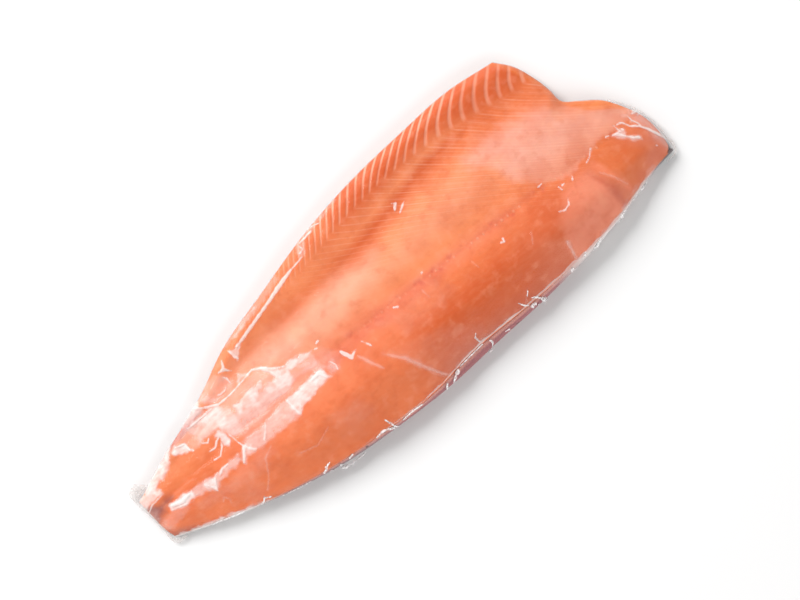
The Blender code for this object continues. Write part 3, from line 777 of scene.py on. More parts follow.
# Places where the film looks milky, where it stands off the flesh and where its glare is
# painted, as how milky, how soft at the edge, and an outline of (x, y) or a stroke of (x, y, half
# width).
VEILS_AND_GLARE = [
    # Painted glare on the loose film over the tail's belly side. An orange window is left clear below
    # it.
    (0.18, 1.2, [(-160, 9), (-153, 11), (-140, 10.8), (-129, 13), (-122, 9.4), (-116, 9.6),
        (-100, 11.4), (-90, 13), (-85, 8), (-75, 2.8), (-66, 2.4), (-56, 0.4), (-57, -6), (-64, -7.4),
        (-72, -6), (-80, -9.4), (-92, -9.6), (-108, -10.4), (-124, -11), (-128, -8), (-131, -2),
        (-139, -1), (-146, -3), (-151, -2.5), (-154, 3)]),
    (0.32, 1.6, [(-147, 10.4), (-129, 12.4), (-122, 9), (-118, 4.4), (-118, -9.6), (-124, -11),
        (-128, -8), (-131, -2), (-139, -1), (-146, -2.6), (-145, 4)]),
    (0.4, 1.4, [(-141, 10.4), (-124, 10), (-122.4, 4), (-124, -8), (-127.6, -8), (-129.6, 3.4),
        (-137, 6.4)]),
    (0.56, 1.1, [(-114, 3.4), (-108, 3.6), (-97, 5), (-92, 5.4), (-94, 2), (-100, -1), (-105, -3.6),
        (-110, -0.6), (-114, -2)]),
    (0.28, 2, [(-126, -2), (-106, -1), (-88, 1), (-80, -10), (-92, -10), (-104, -11.6), (-126, -12)]),
    (0.34, 1, [(-93.4, 0), (-88, 1), (-87, -5.4), (-91.6, -5.8)]),
    (0.4, 1, [(-104.6, -1), (-100.6, -1), (-101, -6), (-103.6, -7)]),
    (0.7, 0.8, [(-88.6, 12.8), (-84.6, 9.6), (-80, 5), (-77.4, 1.5), (-80.5, -1), (-83, 1.5), (-84, 5),
        (-86.5, 9)]),
    (0.62, 1.2, [(-87, 0.5), (-80, 1.4), (-74.6, 0.6), (-74, -4.5), (-78, -7.5), (-85, -7),
        (-86.4, -4)]),
    (0.66, 0.8, [(-79, 3.6), (-70, 3.8), (-62, 3), (-55, 1), (-58, -0.8), (-64, -1.4), (-70, 0),
        (-76, 0.2)]),
    (0.3, 1, [(-69, -1), (-62, -2), (-59.6, -5.6), (-65, -5.4), (-67.6, -3)]),
    (0.12, 2.4, [(-126, -9), (-100, -8), (-80, -5), (-60, 0), (-50, -2), (-42, -12), (-50, -19),
        (-57, -12), (-80, -14), (-120, -17)]),
    (0.26, 1.8, [(-64, -6), (-56, -5), (-56, -11.6), (-62, -11.6)]),
    (0.26, 1.4, [(-55, -12), (-49, -11), (-48, -18), (-55, -18)]),
    # Thin film over the wall above the long fold and past its end.
    (0.24, 2, [(-132, 18.6), (-128, 22), (-120, 25.4), (-112, 26), (-107, 21), (-106, 16), (-110, 12),
        (-120, 11), (-127, 14)]),
    (0.15, 1.4, [(-131, 19), (-126, 22), (-121, 14), (-121, 11), (-127, 14)]),
    (0.4, 0.8, [(-104, 13), (-100.4, 17.6), (-96, 13.6)]),
    (0.08, 3, [(-92, 18), (-74, 18), (-60, 14), (-58, 8), (-70, 7), (-82, 10)]),
    # Painted glare: the pale facet above the window, and the milky strip along the belly's edge at the
    # tail.
    (0.76, 0.8, [(-163, 3.5), (-159.5, 6), (-156, 4.8), (-153, 4.6), (-153.6, 1), (-151.6, -2.6),
        (-155, -2.2), (-159, 0.4), (-162, 1.6)]),
    (0.74, 1.2, [(-193, -5), (-187, -2), (-178, 1.5), (-168, 6.5), (-163, 9.4), (-158, 11.5), (-162, 8),
        (-166, 3.6), (-170, -1), (-175, -4), (-182, -6.6), (-187, -9.4), (-191, -8)]),
    (0.7, 1, [(-157, 13.2), (-150, 15.2), (-140, 19), (-134, 21), (-132, 18.6), (-134, 16.4),
        (-141, 15), (-150, 13.8)]),
    (0.48, 1.4, [(-151, 13), (-142, 12.2), (-133, 12.2), (-130, 14.6), (-136, 16.6), (-146, 15.6)]),
    (0.68, 0.9, [(-135, -3), (-131, -3), (-128.5, -11), (-131, -13.5), (-134, -12), (-133.5, -7)]),
    # The long strip of painted reflection over the loin, from the tail to a straight end.
    (0.82, 0.9, [(-184, -20.6), (-178, -20), (-171, -20.6), (-167.6, -22), (-169, -26), (-174, -26.8),
        (-181, -25.2), (-184.4, -23)]),
    (0.44, 1.1, [(-169, -21.6), (-158, -22), (-151, -23), (-143, -21.6), (-131, -21), (-130.4, -25),
        (-137, -27), (-144, -27.4), (-149, -27.6), (-153, -31), (-154.4, -32.4), (-157, -29.4),
        (-160, -27.6), (-168, -26.6)]),
    (0.46, 0.8, [(-160, -23.4), (-150, -23.4), (-152, -28), (-154.2, -31)]),
    (0.5, 1, [(-127, -21.4), (-124.6, -18.2), (-121.4, -20), (-118.6, -25.6), (-122, -27.4),
        (-126, -25.4), (-130, -29.4), (-131, -26)]),
    (0.4, 1.2, [(-124, -17), (-117, -15.8), (-110, -16.4), (-98, -14.8), (-85, -13.6), (-84.6, -26.4),
        (-100, -26), (-110, -26), (-118, -27), (-121, -22)]),
    (0.68, 0.8, [(-86, -13.6), (-70, -12.4), (-58, -11.4), (-56, -18.6), (-66, -20), (-76, -22),
        (-82, -22.8), (-84, -26.4), (-87, -23)]),
    (0.35, 1.2, [(-67, -12.4), (-58, -11.4), (-56, -18.6), (-65, -20)]),
    # The pale film along the belly's edge, outside the fold with its painted highlight there.
    (0.16, 1, [(-104, 36.5, 0.8), (-96, 37, 2), (-80, 40, 2.4), (-60, 45.4, 2.4), (-46, 50, 1.8)]),
    (0.3, 0.8, [(-88, 36.6, 0.6), (-80, 40, 1.2), (-68, 43.4, 0.8)]),
    (0.55, 0.5, [(-97, 32.4), (-95.6, 24.8), (-92, 27), (-87, 31.6), (-92, 31.4)]),
    (0.2, 0.7, [(-27, 50), (-21, 51.5), (-18, 57), (-22, 59), (-27, 55.4)]),
    (0.24, 0.8, [(-22, 58.4, 0.8), (-14, 60, 1.2), (-6, 61.4, 1.2), (4, 63.4, 1), (12, 66, 0.5)]),
    # Thin haze over the loin, along the two long creases and past them.
    (0.08, 3, [(-172, -29), (-160, -29), (-146, -32), (-116, -27), (-110, -34), (-122, -40),
        (-150, -37), (-168, -35)]),
    (0.05, 4, [(-148, -40), (-134, -40), (-128, -50), (-142, -54)]),
    (0.05, 4, [(-72, -38), (-52, -38), (-48, -52), (-66, -54)]),
    (0.04, 2.5, [(-22, -28), (-14, -38), (-4, -52), (3, -64), (34, -60), (38, -50), (20, -38),
        (0, -33)]),
    (0.05, 4, [(-12, -13), (30, -12), (36, -22), (24, -28), (-4, -26)]),
    (0.14, 1.2, [(-22, -28, 0.6), (-13, -38, 1.4), (-7, -49, 1.4), (-1, -60, 1), (3, -64.6, 0.8)]),
    (0.14, 1, [(-35, -19.4, 0.6), (-31, -27.6, 1.2), (-27, -34.6, 0.4)]),
    # Thicker film over the head end and its back edge, with painted glare on the head end's creases.
    (0.26, 0.8, [(109, -43, 0.5), (108, -50, 0.8), (107.4, -56.4, 0.8)]),
    (0.22, 2, [(184, -3), (194, -3), (199, -30), (196, -36), (192, -30), (191, -18), (186, -9)]),
    (0.46, 1, [(170, -8.6), (174, -9.4), (179, -9.6), (178.4, -14), (184, -18.6), (184.4, -21.4),
        (180, -19.6), (175, -14)]),
    (0.14, 1.5, [(150, -48, 1.2), (165, -43.6, 1.6), (180, -39.4, 1.2)]),
    (0.24, 1.2, [(104, -58.6, 0.7), (118, -55.6, 1.5), (134, -52.6, 1.5), (152, -48.4, 1.2)]),
    (0.26, 1, [(3, -64.6, 0.6), (9, -62.4, 1.4), (30, -59.8, 1.4), (50, -58.8, 1), (60, -58.6, 0.4)]),
    # Thin pale film at the tail's cut, and a painted highlight along the back edge at the tail.
    (0.55, 1, [(-200, -5), (-190, -6.4), (-183, -8.6), (-183, -12.4), (-192, -13), (-200, -14)]),
    (0.16, 1.5, [(-200, -14), (-193, -14), (-192, -19), (-193, -25), (-200, -26)]),
    (0.18, 1.2, [(-188, -24.6), (-176, -25), (-174, -29), (-186, -32), (-198, -32), (-198, -28)]),
    (0.66, 0.8, [(-190, -38.8, 0.6), (-168, -45.2, 1), (-148, -51.2, 1), (-134, -55, 0.6)]),
]
GLARE_VEIL_BLUR, GLARE_VEIL_WANDER = 1.3, 0.9
# Painted highlights on folds and facets where they would catch the light, as strokes of
# (x, y, half width). The film is raised a little along them too.
PAINTED_GLINT_STROKES = [
    [(-137.5, 18.4, 0.4), (-130, 13.8, 0.7), (-121, 9.8, 0.7), (-112, 10.2, 0.5), (-100, 12.4, 0.5),
        (-92, 14.2, 0.7), (-87, 11.6, 0.7), (-80, 6, 0.7), (-75, 3.6, 0.6)],
    [(-182, -21.8, 0.9), (-176, -23.6, 1.2), (-170, -22.6, 0.8)],
    [(-158.4, -23.6, 0.4), (-154.4, -29, 0.5), (-154, -31.6, 0.2)],
    [(-150.4, -23.8, 0.4), (-154, -30.6, 0.4)],
    [(-147, -24.6, 0.6), (-143.6, -22.6, 0.8), (-139, -22.4, 0.3)],
    [(-130.4, -28, 0.4), (-126, -22.5, 0.9), (-124.6, -19, 0.5)],
    [(-122.6, -23, 0.9), (-119.4, -25.6, 0.8)],
    [(-127.4, -8.6, 0.3), (-125.4, -17, 0.5), (-122, -24, 0.3)],
    [(-105, -16.4, 0.3), (-108, -21, 0.4), (-112, -24.6, 0.3)],
    [(-86, -14.4, 0.6), (-84.6, -25, 0.6)],
    [(-81, -21.4, 0.3), (-84, -25.4, 0.4)],
    [(-66, -13.6, 0.8), (-60, -12.8, 1.2), (-57.6, -17.6, 0.8)],
    [(-143.8, -9.4, 0.4), (-139, -9.8, 0.6), (-136, -7, 0.6), (-133.4, -6, 0.3)],
    [(-144.6, -15.4, 0.4), (-139.6, -15.8, 0.5), (-135.6, -12, 0.6), (-134.6, -9.6, 0.3)],
    [(-144, -2.6, 0.4), (-141, -4.6, 0.5), (-139, -2.8, 0.3)],
    [(-159.6, 5.2, 0.4), (-154, 3.8, 0.6), (-153, -1.6, 0.5)],
    [(-146, 9.8, 0.3), (-136, 10.2, 0.4), (-127, 10.4, 0.2)],
    [(-192, -6, 0.2), (-186, -2.6, 0.4), (-176, 1.4, 0.4)],
    [(-199, -17.4, 0.2), (-193, -14, 0.4), (-184, -12.6, 0.2)],
    [(-109.8, 25.4, 0.3), (-106, 25.2, 1.1), (-103.4, 30.4, 0.3)],
    [(-106, 25.2, 1), (-102.6, 21.4, 0.2)],
    [(-109.2, 21.6, 0.4), (-108, 20, 0.6), (-107.8, 15.8, 0.2)],
    [(-118.4, 14.8, 0.3), (-117, 14, 0.4), (-113, 14.4, 0.5), (-111.4, 15.8, 0.2)],
    [(-96.4, 31.8, 0.4), (-95.8, 27, 0.7), (-94.6, 25.2, 0.4)],
    [(-91, 31.4, 0.7), (-82, 33.8, 1), (-70, 37.4, 0.9), (-58, 41, 0.8), (-50, 43.6, 1.2),
        (-43, 45.8, 1.2), (-36, 47.6, 0.7), (-30, 49, 0.4), (-25, 50, 0.2)],
    [(-24.6, 52.4, 0.3), (-21.6, 53.4, 0.4), (-22.4, 56.4, 0.2)],
    [(-21, 57.6, 0.4), (-16, 58.2, 0.5), (-11, 59.2, 0.4)],
    [(-12, 61, 0.3), (-8.6, 61.2, 0.4), (-4, 60, 0.2)],
    [(-41.6, -11, 0.9), (-40.2, -14, 1.4), (-38.4, -18, 1)],
    [(-38.6, -17.8, 0.8), (-35.6, -16, 0.7), (-33, -15.4, 0.2)],
    [(-28, -13, 0.3), (-26, -16.6, 0.4), (-24.8, -19, 0.7)],
    [(-50.6, -11.6, 0.4), (-49, -15, 0.5), (-49.6, -18, 0.3)],
    [(-53, 0.2, 0.5), (-51.6, 0, 0.4)],
    [(-50.4, 2.6, 0.5), (-48.6, 3, 0.5)],
    [(38, 37.8, 0.7), (39.4, 39.4, 1.1), (41, 40.6, 0.6), (38.6, 42, 0.3)],
    [(39.6, 34.2, 0.3), (42, 36, 0.5), (46, 38.4, 0.3)],
    [(175.4, -4.2, 0.4), (176.4, -8.6, 0.5), (179, -8.8, 0.3)],
    [(172.4, -9.6, 0.4), (175.4, -11.6, 0.6), (177.4, -14.4, 0.5), (180.6, -17.8, 0.6),
        (183.4, -19.6, 0.8)],
    [(171.4, -9, 0.5), (175, -9.6, 0.5), (178.6, -10, 0.6)],
    [(177, -5.2, 0.4), (181, -6, 0.5), (183.6, -11, 0.6), (188.4, -14.4, 0.5), (192, -20, 0.8),
        (195, -26, 0.8), (198, -31.4, 0.4)],
    [(186.4, -3.4, 0.2), (187, -9, 0.4), (189.6, -14, 0.3)],
    [(190, -5.6, 0.8), (193.4, -5.2, 0.8), (194.6, -9, 0.4), (192, -8.2, 0.4)],
    [(76.4, -18.6, 0.5), (78.4, -19.4, 0.5), (78.8, -17, 0.5)],
    [(0.4, -9.4, 0.5), (2.6, -10.6, 0.7)],
    [(26.6, -3.4, 0.5), (27.4, -3, 0.5)],
    [(115.8, -25.4, 0.3), (119, -27, 0.5), (123.2, -25.6, 0.5), (124.6, -22.8, 0.4)],
    [(147.4, -12.4, 0.4), (151.4, -10.6, 0.4), (155.4, -6.6, 0.3)],
    [(125, -13, 0.4), (125.6, -16, 0.3)],
    [(127.4, -13.8, 0.5), (129, -14, 0.4)],
    [(134.4, -15.2, 0.5), (135.6, -13.4, 0.4)],
    [(115, -5.6, 0.4), (118, -5.4, 0.4)],
    [(167, -7, 0.5), (169.4, -7.6, 0.5)],
    [(189.2, -29.6, 0.4), (190, -30.6, 0.4)],
]
# Thin creases that only shade the film.
CREASES = [
    [(-130, -50, 0.5), (-124, -44, 0.4), (-118, -33.6, 0.5), (-111, -30, 0.3)],
    [(-156, -39, 0.4), (-154, -36.8, 0.5), (-151.6, -39.6, 0.4), (-152.4, -42.2, 0.3)],
    [(-34.4, -20, 0.6), (-31, -27.6, 0.9), (-27, -34.6, 0.5)],
    [(-20, -30, 0.7), (-13, -38, 0.9), (-7, -49, 0.8), (0, -60.6, 0.7), (3, -64.6, 0.5)],
    [(55, -16.6, 0.4), (56.4, -22, 0.3)],
    [(20.6, -12, 0.5), (21.6, -18, 0.3)],
    [(108.4, -42, 0.6), (107.6, -54, 0.6)],
    [(150.4, -22, 0.5), (156, -30, 0.6), (160, -38, 0.4)],
    [(-184, -24, 0.4), (-170, -27.6, 0.4)],
    [(72, -50, 0.3), (66, -57, 0.4)],
    [(-100, -44, 0.3), (-88, -47, 0.4), (-76, -42, 0.3)],
    [(95, -24, 0.3), (91, -31, 0.4)],
]
# The film is pinched along the cut, where the flesh gives way to the bulging flank.
FOLD_START = [(-200, 0), (-110, 0), (-60, 0.5), (0, 1), (164, 1), (182, 0), (200, 0)]
FOLD_PLACE, FOLD_HALF, FOLD_MILKINESS, FOLD_FOOT = 0.2, 1.7, 0.42, 0.5
# Over the flank the film is milky too, near both ends of the side. At the tail this milk also
# paints the glare along the back edge.
FLANK_MILK_AND_GLARE = [(-200, 0.85), (-142, 0.8), (-126, 0.12), (101, 0.05), (112, 0.6), (150, 0.65), (176, 0.5),
              (188, 0.05), (200, 0)]
FLANK_MILK_FROM, FLANK_MILK_TO = 0.8, 0.3
FOLD_EDGE, FOLD_WANDER = 0.6, 0.5
RIDGE_HEIGHT, CREASE_HEIGHT, PATCH_LIFT, WRINKLE_HEIGHT = 0.45, 0.3, 0.35, 0.12


def veil_and_glare_over(x, y):
    """How milky the film is, painted glare included: each patch lies over those before it, and its edge
    wanders.
    """
    clear = np.ones_like(x)
    for number, (milkiness, softness, shape) in enumerate(VEILS_AND_GLARE):
        wander = GLARE_VEIL_WANDER * lumps(x, y, 2.4, 100 + number)
        wander += 0.5 * softness * lumps(x, y, 6.0, 200 + number)
        edge = GLARE_VEIL_BLUR * softness
        clear *= 1 - milkiness * smoothstep(-edge, edge, depth_in_shape(x, y, shape) + wander)
    return 1 - clear


fold_start = smooth_curve(FOLD_START)
film_top = top_surface(fine_u, fine_row)
x, y = film_top[..., 0], film_top[..., 1]
film_top[..., 2] += flesh_relief(fine_u, x, y)
# The patches paint the film's glare along with its milkiness.
veil = veil_and_glare_over(x, y)
off_fold = np.abs(y - cut_line(x) - FOLD_PLACE) + FOLD_WANDER * lumps(x, y, 4.0, 300)
fold = smoothstep(FOLD_HALF + FOLD_EDGE, FOLD_HALF - FOLD_EDGE, off_fold) * fold_start(x)
bright = np.max([depth_in_stroke(x, y, stroke) for stroke in PAINTED_GLINT_STROKES], axis=0)
crease = np.max([depth_in_stroke(x, y, stroke) for stroke in CREASES], axis=0)
tailward = smoothstep(-40.0, -110.0, x)
ruffles = lumps(x * 0.55 + y, y - x * 0.2, 3.2, 21) * (0.35 + 0.65 * tailward)
rise = FILM_GAP + PATCH_LIFT * veil + RIDGE_HEIGHT * smoothstep(-0.6, 0.8, bright)
rise += CREASE_HEIGHT * smoothstep(-0.6, 0.5, crease) + WRINKLE_HEIGHT * ruffles
film_top = film_top + rise[..., None] * normals_of(film_top)

film_under = under_surface(coarse_u, coarse_row)
film_under[..., 2] = np.maximum(film_under[..., 2], FILM_SINK)
along, down_flank = film_under[..., 0], coarse_row / FLANK_ROWS
# At the tail this also paints the glare along the back edge.
flank_milk_and_glare = smooth_curve(FLANK_MILK_AND_GLARE)(along) * smoothstep(FLANK_MILK_FROM, FLANK_MILK_TO, down_flank)
flank_fold = fold_start(along) * np.clip(1 - down_flank / FOLD_FOOT, 0.0, 1.0)
film_fields = {"veil": np.concatenate([veil.ravel(), flank_milk_and_glare.ravel()]),
               "fold": np.concatenate([fold.ravel(), flank_fold.ravel()]),
               "bright": bright, "crease": crease}

CLINGING_REFLECTION, LOOSE_REFLECTION, GLANCING_REFLECTION = 0.012, 0.035, 0.3
FILM_MILK, CLEAR_TINT, GLOSS_WHITE = (0.75, 0.695, 0.67), (0.985, 0.98, 0.978), (1.0, 1.0, 1.0)
GLINT_PAINT_MILKINESS, CREASE_MILKINESS, MOST_MILKY = 0.7, 0.14, 0.93
RAGGED_SIZE, CLOUD_SIZE, STREAK_SIZE = 1.6, 4.0, 1.4


def clear_film(film, milkiness, reflection, roughness, normal, tone=FILM_MILK):
    """Film that mirrors more at a glancing angle, turned milky by a varying amount."""
    facing = film.node("ShaderNodeLayerWeight", None, {"Blend": 0.5}, output=1)
    mirrored = reflection + (GLANCING_REFLECTION - reflection) * facing ** 5
    clear = film.node("ShaderNodeBsdfTransparent", None, {"Color": CLEAR_TINT})
    gloss_sockets = {"Color": GLOSS_WHITE, "Roughness": roughness, "Normal": normal}
    gloss = film.node("ShaderNodeBsdfGlossy", None, gloss_sockets)
    milk_sockets = {"Base Color": tone, "Roughness": roughness, "Normal": normal}
    milk = film.node("ShaderNodeBsdfPrincipled", None, milk_sockets)
    surface = film.node("ShaderNodeMixShader", None, {0: mirrored, 1: clear, 2: gloss})
    return film.node("ShaderNodeMixShader", None, {0: milkiness, 1: surface, 2: milk})


def make_film_material():
    material, film = start_material("shrink_film")
    place = film.place()
    ragged = film.noise(place, RAGGED_SIZE, 3.0)
    cloud = film.noise(place, CLOUD_SIZE, 3.0)
    streaks = film.noise(film.stretched(place, 0.3, 1.0, 1.0), STREAK_SIZE, 3.0)
    uneven = 0.5 * cloud.rise(0.3, 0.65) + 0.3 * streaks.rise(0.35, 0.65)
    # The patches' milkiness is partly painted glare.
    veil = film.field("veil") * (0.62 + 0.7 * (uneven + 0.2 * ragged.rise(0.35, 0.65)))
    fold = (film.field("fold") + (ragged - 0.5) * 0.6).rise(0.35, 0.75)
    # The glint strokes turn the film milky as painted highlights.
    bright = (film.field("bright") + (ragged - 0.5) * 1.4).rise(-0.5, 0.5)
    crease = (film.field("crease") + (ragged - 0.5) * 0.8).rise(-0.6, 0.6)
    left_clear = (1 - veil) * (1 - FOLD_MILKINESS * fold)
    left_clear = left_clear * (1 - GLINT_PAINT_MILKINESS * bright) * (1 - CREASE_MILKINESS * crease)
    milkiness = (1 - left_clear).math("MINIMUM", MOST_MILKY)
    reflection = CLINGING_REFLECTION + (LOOSE_REFLECTION - CLINGING_REFLECTION) * veil.rise(0.1, 0.5)
    height = streaks * 0.12 + cloud * 0.25 + bright * 0.25 + crease * 0.15 + veil * 0.1
    roughness = 0.07 + 0.05 * cloud
    film.finish(clear_film(film, milkiness, reflection, roughness, film.bump(height)))
    return material


film_body = closed_body(film_top, film_under)
sleeve = finish_piece(film_body, "film_sleeve", make_film_material(), fields=film_fields)
# Film this thin doesn't shade the flesh it lies on.
sleeve.visible_shadow = False

# Gathered ends: at each end the sleeve is drawn together past the fish and sealed by heat, and
# what stands free there is two layers thick, milky and rippled, with an ear at the tail's belly
# corner.
TAIL_FILM = [(-188, -41.6), (-194.6, -39.4), (-197.2, -30), (-198.4, -19), (-199.3, -9.5),
             (-197.6, -5.6), (-189.5, -2.4)]
TAIL_FILM_REACH = [(0, 0.8), (0.14, 3), (0.24, 1.2), (0.4, 0.8), (0.65, 0.8), (0.78, 2.5), (0.88, 7.5),
                   (1, 2.5)]
HEAD_FILM = [(190, -42.2), (197.6, -40.4), (198.9, -29), (197, -12), (190.6, 2.2), (184, 10.6)]
HEAD_FILM_REACH = [(0, 0.6), (0.2, 1.4), (0.4, 1.2), (0.7, 1), (1, 0.6)]
FLAP_HEIGHT, FLAP_SAG, FLAP_RIPPLE, FLAP_RIPPLES = 3.6, 0.8, 0.5, 5.5
FLAP_RAGGED, FLAP_CRINKLE = 0.12, 0.25
FLAP_THICKNESS, FLAP_STEPS, FLAP_ROWS = 0.25, 140, 14


def make_layered_film(name, size, least_milk, more_milk, clouds, roughness, tone=FILM_MILK):
    """Film in several layers, milkier and rougher where clouds of the given size lie."""
    material, film = start_material(name)
    cloud = film.noise(film.place(), size, 3.0)
    milkiness = least_milk + more_milk * cloud.rise(*clouds)
    rough = roughness[0] + roughness[1] * cloud
    normal = film.bump(cloud * 0.5)
    film.finish(clear_film(film, milkiness, LOOSE_REFLECTION, rough, normal, tone))
    return material


flap_material = make_layered_film("sealed_film", size=2.0, least_milk=0.10, more_milk=0.25,
                                  clouds=(0.35, 0.65), roughness=(0.1, 0.1))
for name, root, reach in (("film_tail_end", TAIL_FILM, TAIL_FILM_REACH),
                          ("film_head_end", HEAD_FILM, HEAD_FILM_REACH)):
    t, s = np.meshgrid(np.linspace(0.0, 1.0, FLAP_STEPS + 1), np.linspace(0.0, 1.0, FLAP_ROWS + 1),
                       indexing="ij")
    xy = smooth_path(root)(t)
    along = np.gradient(xy, axis=0)
    outward = np.stack([along[..., 1], -along[..., 0]], axis=-1) * np.sign(root[0][0])
    outward /= np.linalg.norm(outward, axis=-1, keepdims=True)
    ragged_reach = smooth_curve(reach)(t) * (1 + FLAP_RAGGED * lumps(t * 200.0, s * 0.0, 6.0, 31))
    xy = xy + (ragged_reach * s)[..., None] * outward
    z = FLAP_HEIGHT - FLAP_SAG * s + FLAP_RIPPLE * s * np.sin(2 * np.pi * FLAP_RIPPLES * t)
    z = z + FLAP_CRINKLE * s * lumps(xy[..., 0], xy[..., 1], 1.6, 32)
    mesh = bmesh.new()
    add_grid(mesh, np.concatenate([xy, z[..., None]], axis=-1), True)
    bmesh.ops.recalc_face_normals(mesh, faces=mesh.faces)
    flap = finish_piece(mesh, name.replace("film_", "sealed_"), flap_material, [name])
    thicken(flap, FLAP_THICKNESS, 0.0)

# Crumples: where the sleeve had film to spare, along the back edge most of all, it is bunched
# into small hard pleats that stand off the fish and catch the light. Their white is partly
# the bunched film's own milk and partly painted glints.
CRUMPLES = [
    [(-97, -63.6, 0.5), (-94.5, -62.6, 0.9), (-92, -61, 0.7), (-89, -60, 0.3)],
    [(-93, -64.6, 0.4), (-90, -66.4, 0.3)],
    [(-84.6, -65, 0.5), (-86, -67.4, 1.1), (-82.5, -69.2, 0.9), (-76, -69.7, 0.6), (-68, -69.2, 0.4)],
    [(-79, -66, 0.5), (-74.8, -65, 0.6)],
    [(-57.5, -66, 0.3), (-51, -65.4, 0.9), (-47, -67, 0.9), (-44.5, -68.4, 0.7)],
    [(-46.5, -60, 0.4), (-45, -64, 0.7), (-43.5, -68, 0.7), (-41.5, -69.5, 0.4)],
    [(-38, -67.6, 0.4), (-30, -66.8, 0.6), (-22, -67.2, 0.4)],
    [(-5, -70, 0.5), (-3, -67.4, 0.7), (-2, -66.4, 0.4)],
    [(0.6, -69, 0.4), (3.4, -67, 0.9), (7, -64.6, 1), (8.4, -63.4, 0.8)],
    [(10, -63, 0.4), (20, -61.6, 0.5), (30, -60.6, 0.4)],
    [(30.5, -52.4, 0.3), (28.4, -55, 0.5), (29, -57.4, 0.5), (29.6, -59.4, 0.3)],
    [(29.6, -67.4, 0.4), (33.6, -67.4, 0.4)],
    [(33.6, -66.2, 0.4), (35, -63.4, 0.7), (34.6, -61, 0.4)],
    [(45, -63.4, 0.4), (49, -63.8, 0.5)],
    [(62, -54, 0.3), (64.4, -57.6, 0.5), (67, -59.6, 0.4)],
    [(69, -54.6, 0.2), (71.6, -51.6, 0.3)],
    [(67, -61.8, 0.9), (69.4, -60.8, 1.2), (71.6, -61.2, 1.1)],
    [(70.6, -56.6, 0.4), (73.6, -58.4, 0.6), (75.6, -61, 0.6)],
    [(75.2, -60.8, 1.3), (76.6, -62.8, 1.8), (77.4, -64.6, 1.7)],
    [(72, -62.4, 0.4), (72.4, -63.8, 0.7)],
    [(99.8, -59.8, 0.6), (101.4, -58.8, 1.1), (103.4, -59.6, 0.4)],
    [(112, -57, 0.7), (114.6, -55, 0.9)],
    [(119.6, -57, 0.6), (122, -56.4, 1.1), (125.6, -55, 1), (127, -54, 0.4)],
    [(142.4, -53.4, 0.5), (145, -51.8, 1.2), (148, -50.2, 1.2), (151, -50.4, 0.5)],
    [(153, -48.6, 0.4), (154.4, -49.8, 0.4)],
    [(156, -48.4, 0.4), (162, -46.8, 0.5)],
    [(164, -46.6, 0.6), (169, -44.8, 0.9), (173, -43.8, 0.4)],
    [(-140, -55.4, 0.3), (-136.4, -54.2, 0.5), (-134, -51.6, 0.4)],
    [(-134.6, -53, 0.5), (-130.6, -55, 0.4)],
    [(-172, -45.8, 0.3), (-160, -49.2, 0.6), (-148, -52.6, 0.4)],
    [(-126, -58.6, 0.3), (-118, -60.4, 0.4), (-106, -62.6, 0.3)],
]
CRUMPLE_SIDES, CRUMPLE_STEP, CRUMPLE_HEIGHT = 8, 0.45, 0.7
CRUMPLE_TAPER, CRUMPLE_THINNEST, CRUMPLE_UNEVEN, CRUMPLE_KINKS = 0.6, 0.02, 0.3, 0.5
CRUMPLE_MILK_AND_GLINT = (0.92, 0.90, 0.90)


def rest_height(x, y):
    """Height of the film at a place, also where it rounds the flank past the cut."""
    past_cut = np.clip(cut_line(x) - y, 0.0, None)
    middle = FLANK_MIDDLE * cut_height(x)
    outward = np.clip(past_cut / flank_bulge(x), 0.0, 0.98)
    flank = middle + (cut_height(x) - middle) * np.sqrt(1 - outward ** 2)
    return np.where(past_cut > 0, flank, top_height(x, np.maximum(y, cut_line(x)))) + FILM_GAP


mesh = bmesh.new()
for number, stroke in enumerate(CRUMPLES):
    points = np.array(stroke, dtype=float)
    places = lengths_along(points[:, :2])
    t = np.linspace(0.0, places[-1], max(6, int(places[-1] / CRUMPLE_STEP)))
    xy = curve_through(points, places)(t)
    half = np.interp(t, places, points[:, 2])
    half = half * (1 + CRUMPLE_UNEVEN * lumps(t, t * 0.0, 1.1, 40 + number))
    from_end = np.clip(np.minimum(t, places[-1] - t) / CRUMPLE_TAPER, 0.004, 1.0)
    half = np.maximum(half * np.sqrt(from_end), CRUMPLE_THINNEST)[:, None]
    along = np.gradient(xy, axis=0)
    side = np.stack([-along[:, 1], along[:, 0]], axis=-1)
    side /= np.linalg.norm(along, axis=-1, keepdims=True)
    angles = np.arange(CRUMPLE_SIDES) * 2 * np.pi / CRUMPLE_SIDES
    kink = 1 + CRUMPLE_KINKS * lumps(t[:, None], angles[None, :] * 2.0, 0.8, 70 + number)
    ring = xy[:, None, :] + (side * half)[:, None, :] * (np.cos(angles) * kink)[..., None]
    z = rest_height(xy[:, 0], xy[:, 1])[:, None] + half * CRUMPLE_HEIGHT * np.sin(angles) * kink
    rings = add_points(mesh, np.concatenate([ring, z[..., None]], axis=-1))
    for near, far in zip(rings[:-1], rings[1:]):
        for k in range(CRUMPLE_SIDES):
            after = (k + 1) % CRUMPLE_SIDES
            mesh.faces.new([near[k], near[after], far[after], far[k]])
    mesh.faces.new(rings[0][::-1])
    mesh.faces.new(rings[-1])
bmesh.ops.recalc_face_normals(mesh, faces=mesh.faces)
# Its milky white partly paints the crumples' glints.
crumple_material = make_layered_film("bunched_film_and_glints", size=0.8, least_milk=0.3, more_milk=0.6,
                                     clouds=(0.38, 0.6), roughness=(0.12, 0.0), tone=CRUMPLE_MILK_AND_GLINT)
finish_piece(mesh, "film_crumples", crumple_material)

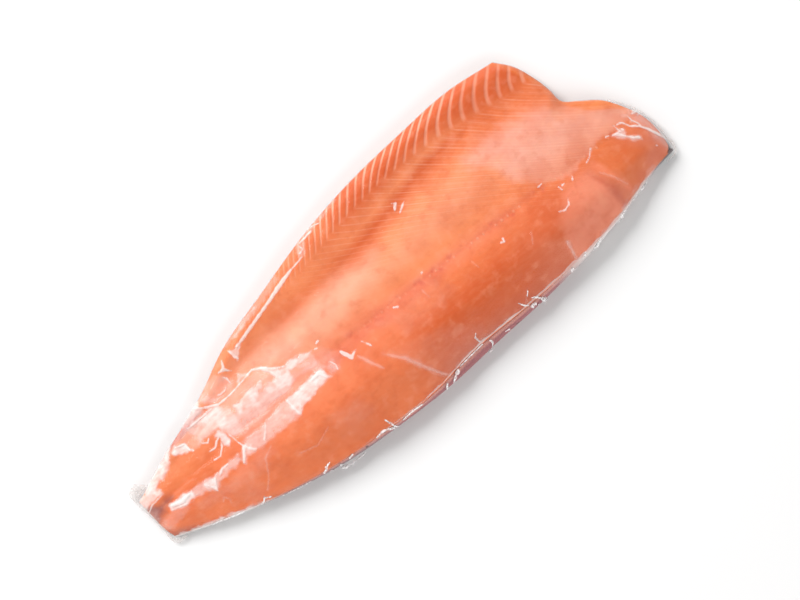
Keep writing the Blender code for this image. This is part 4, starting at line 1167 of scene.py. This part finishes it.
# Table: a plain white sheet that the pack lies on, far wider than the pack, so that no edge of it
# comes into the picture. It only sets the stage.
TABLE_SIZE, TABLE_WHITE = 8.0, (0.80, 0.80, 0.80)
bpy.ops.mesh.primitive_plane_add(size=TABLE_SIZE)
table = bpy.context.object
table.name = "table"
material, sheet = start_material("table_white")
table_sockets = {"Base Color": TABLE_WHITE, "Roughness": 0.9, "Specular IOR Level": 0.1}
sheet.finish(sheet.node("ShaderNodeBsdfPrincipled", None, table_sockets))
table.data.materials.append(material)

# Light: a large softbox beyond the belly and a weaker one beyond the back, which the film doesn't
# mirror, a small one towards the tail that makes the film's glints, and a pale room that is
# bright near the horizon and dark overhead.
SOFTBOXES = [("key_softbox", (-0.16, 0.73, 0.64), 1.7, (1.1, 0.9), 30.0, False),
             ("back_softbox", (0.12, -0.80, 0.60), 1.8, (1.4, 1.0), 10.5, False),
             ("glint_softbox", (-0.36, 0.54, 0.76), 1.6, (0.5, 0.4), 2.0, True)]
ROOM_LOW, ROOM_HIGH, ROOM_WHITE = 1.25, 0.12, (1.0, 0.99, 0.985)

for name, source, away, size, power, mirrored in SOFTBOXES:
    light = bpy.data.lights.new(name, "AREA")
    light.shape = "RECTANGLE"
    light.size, light.size_y = size
    light.energy = power
    softbox = bpy.data.objects.new(name, light)
    bpy.context.scene.collection.objects.link(softbox)
    direction = Vector(source).normalized()
    softbox.location = direction * away
    softbox.rotation_euler = direction.to_track_quat("Z", "Y").to_euler()
    softbox.visible_glossy = mirrored

world = bpy.data.worlds.new("room")
bpy.context.scene.world = world
world.use_nodes = True
world.node_tree.nodes.remove(world.node_tree.nodes["Background"])
room = Wire(world.node_tree)
towards = room.node("ShaderNodeTexCoord", output=0)
height = room.node("ShaderNodeSeparateXYZ", None, {0: towards}, output=2)
strength = ROOM_LOW + (ROOM_HIGH - ROOM_LOW) * height.rise(0.35, 0.85)
room_sockets = {"Color": ROOM_WHITE, "Strength": strength}
room.finish(room.node("ShaderNodeBackground", None, room_sockets), "World Output")

# Camera: straight above the pack, turned so that the head points up to the right, and as far away
# as gives every pixel of the picture its real width on the pack.
CAMERA_TURN, LENS, SENSOR = 38.0, 85.0, 36.0
PIXEL_MM, PICTURE_WIDTH, MIDDLE_HEIGHT = 400.0 / 648.0, 800, 12.0
VIEW_CENTRE = (6.26, -8.03)

camera_data = bpy.data.cameras.new("camera")
camera_data.lens, camera_data.sensor_width = LENS, SENSOR
camera = bpy.data.objects.new("camera", camera_data)
bpy.context.scene.collection.objects.link(camera)
away = PIXEL_MM * PICTURE_WIDTH * LENS / SENSOR + MIDDLE_HEIGHT
offset = [(there - here) * MM for there, here in zip(VIEW_CENTRE, BOX_CENTRE)]
camera.location = (*offset, away * MM)
camera.rotation_euler = (0.0, 0.0, -np.radians(CAMERA_TURN))
bpy.context.scene.camera = camera
bpy.context.scene.view_settings.view_transform = "Standard"
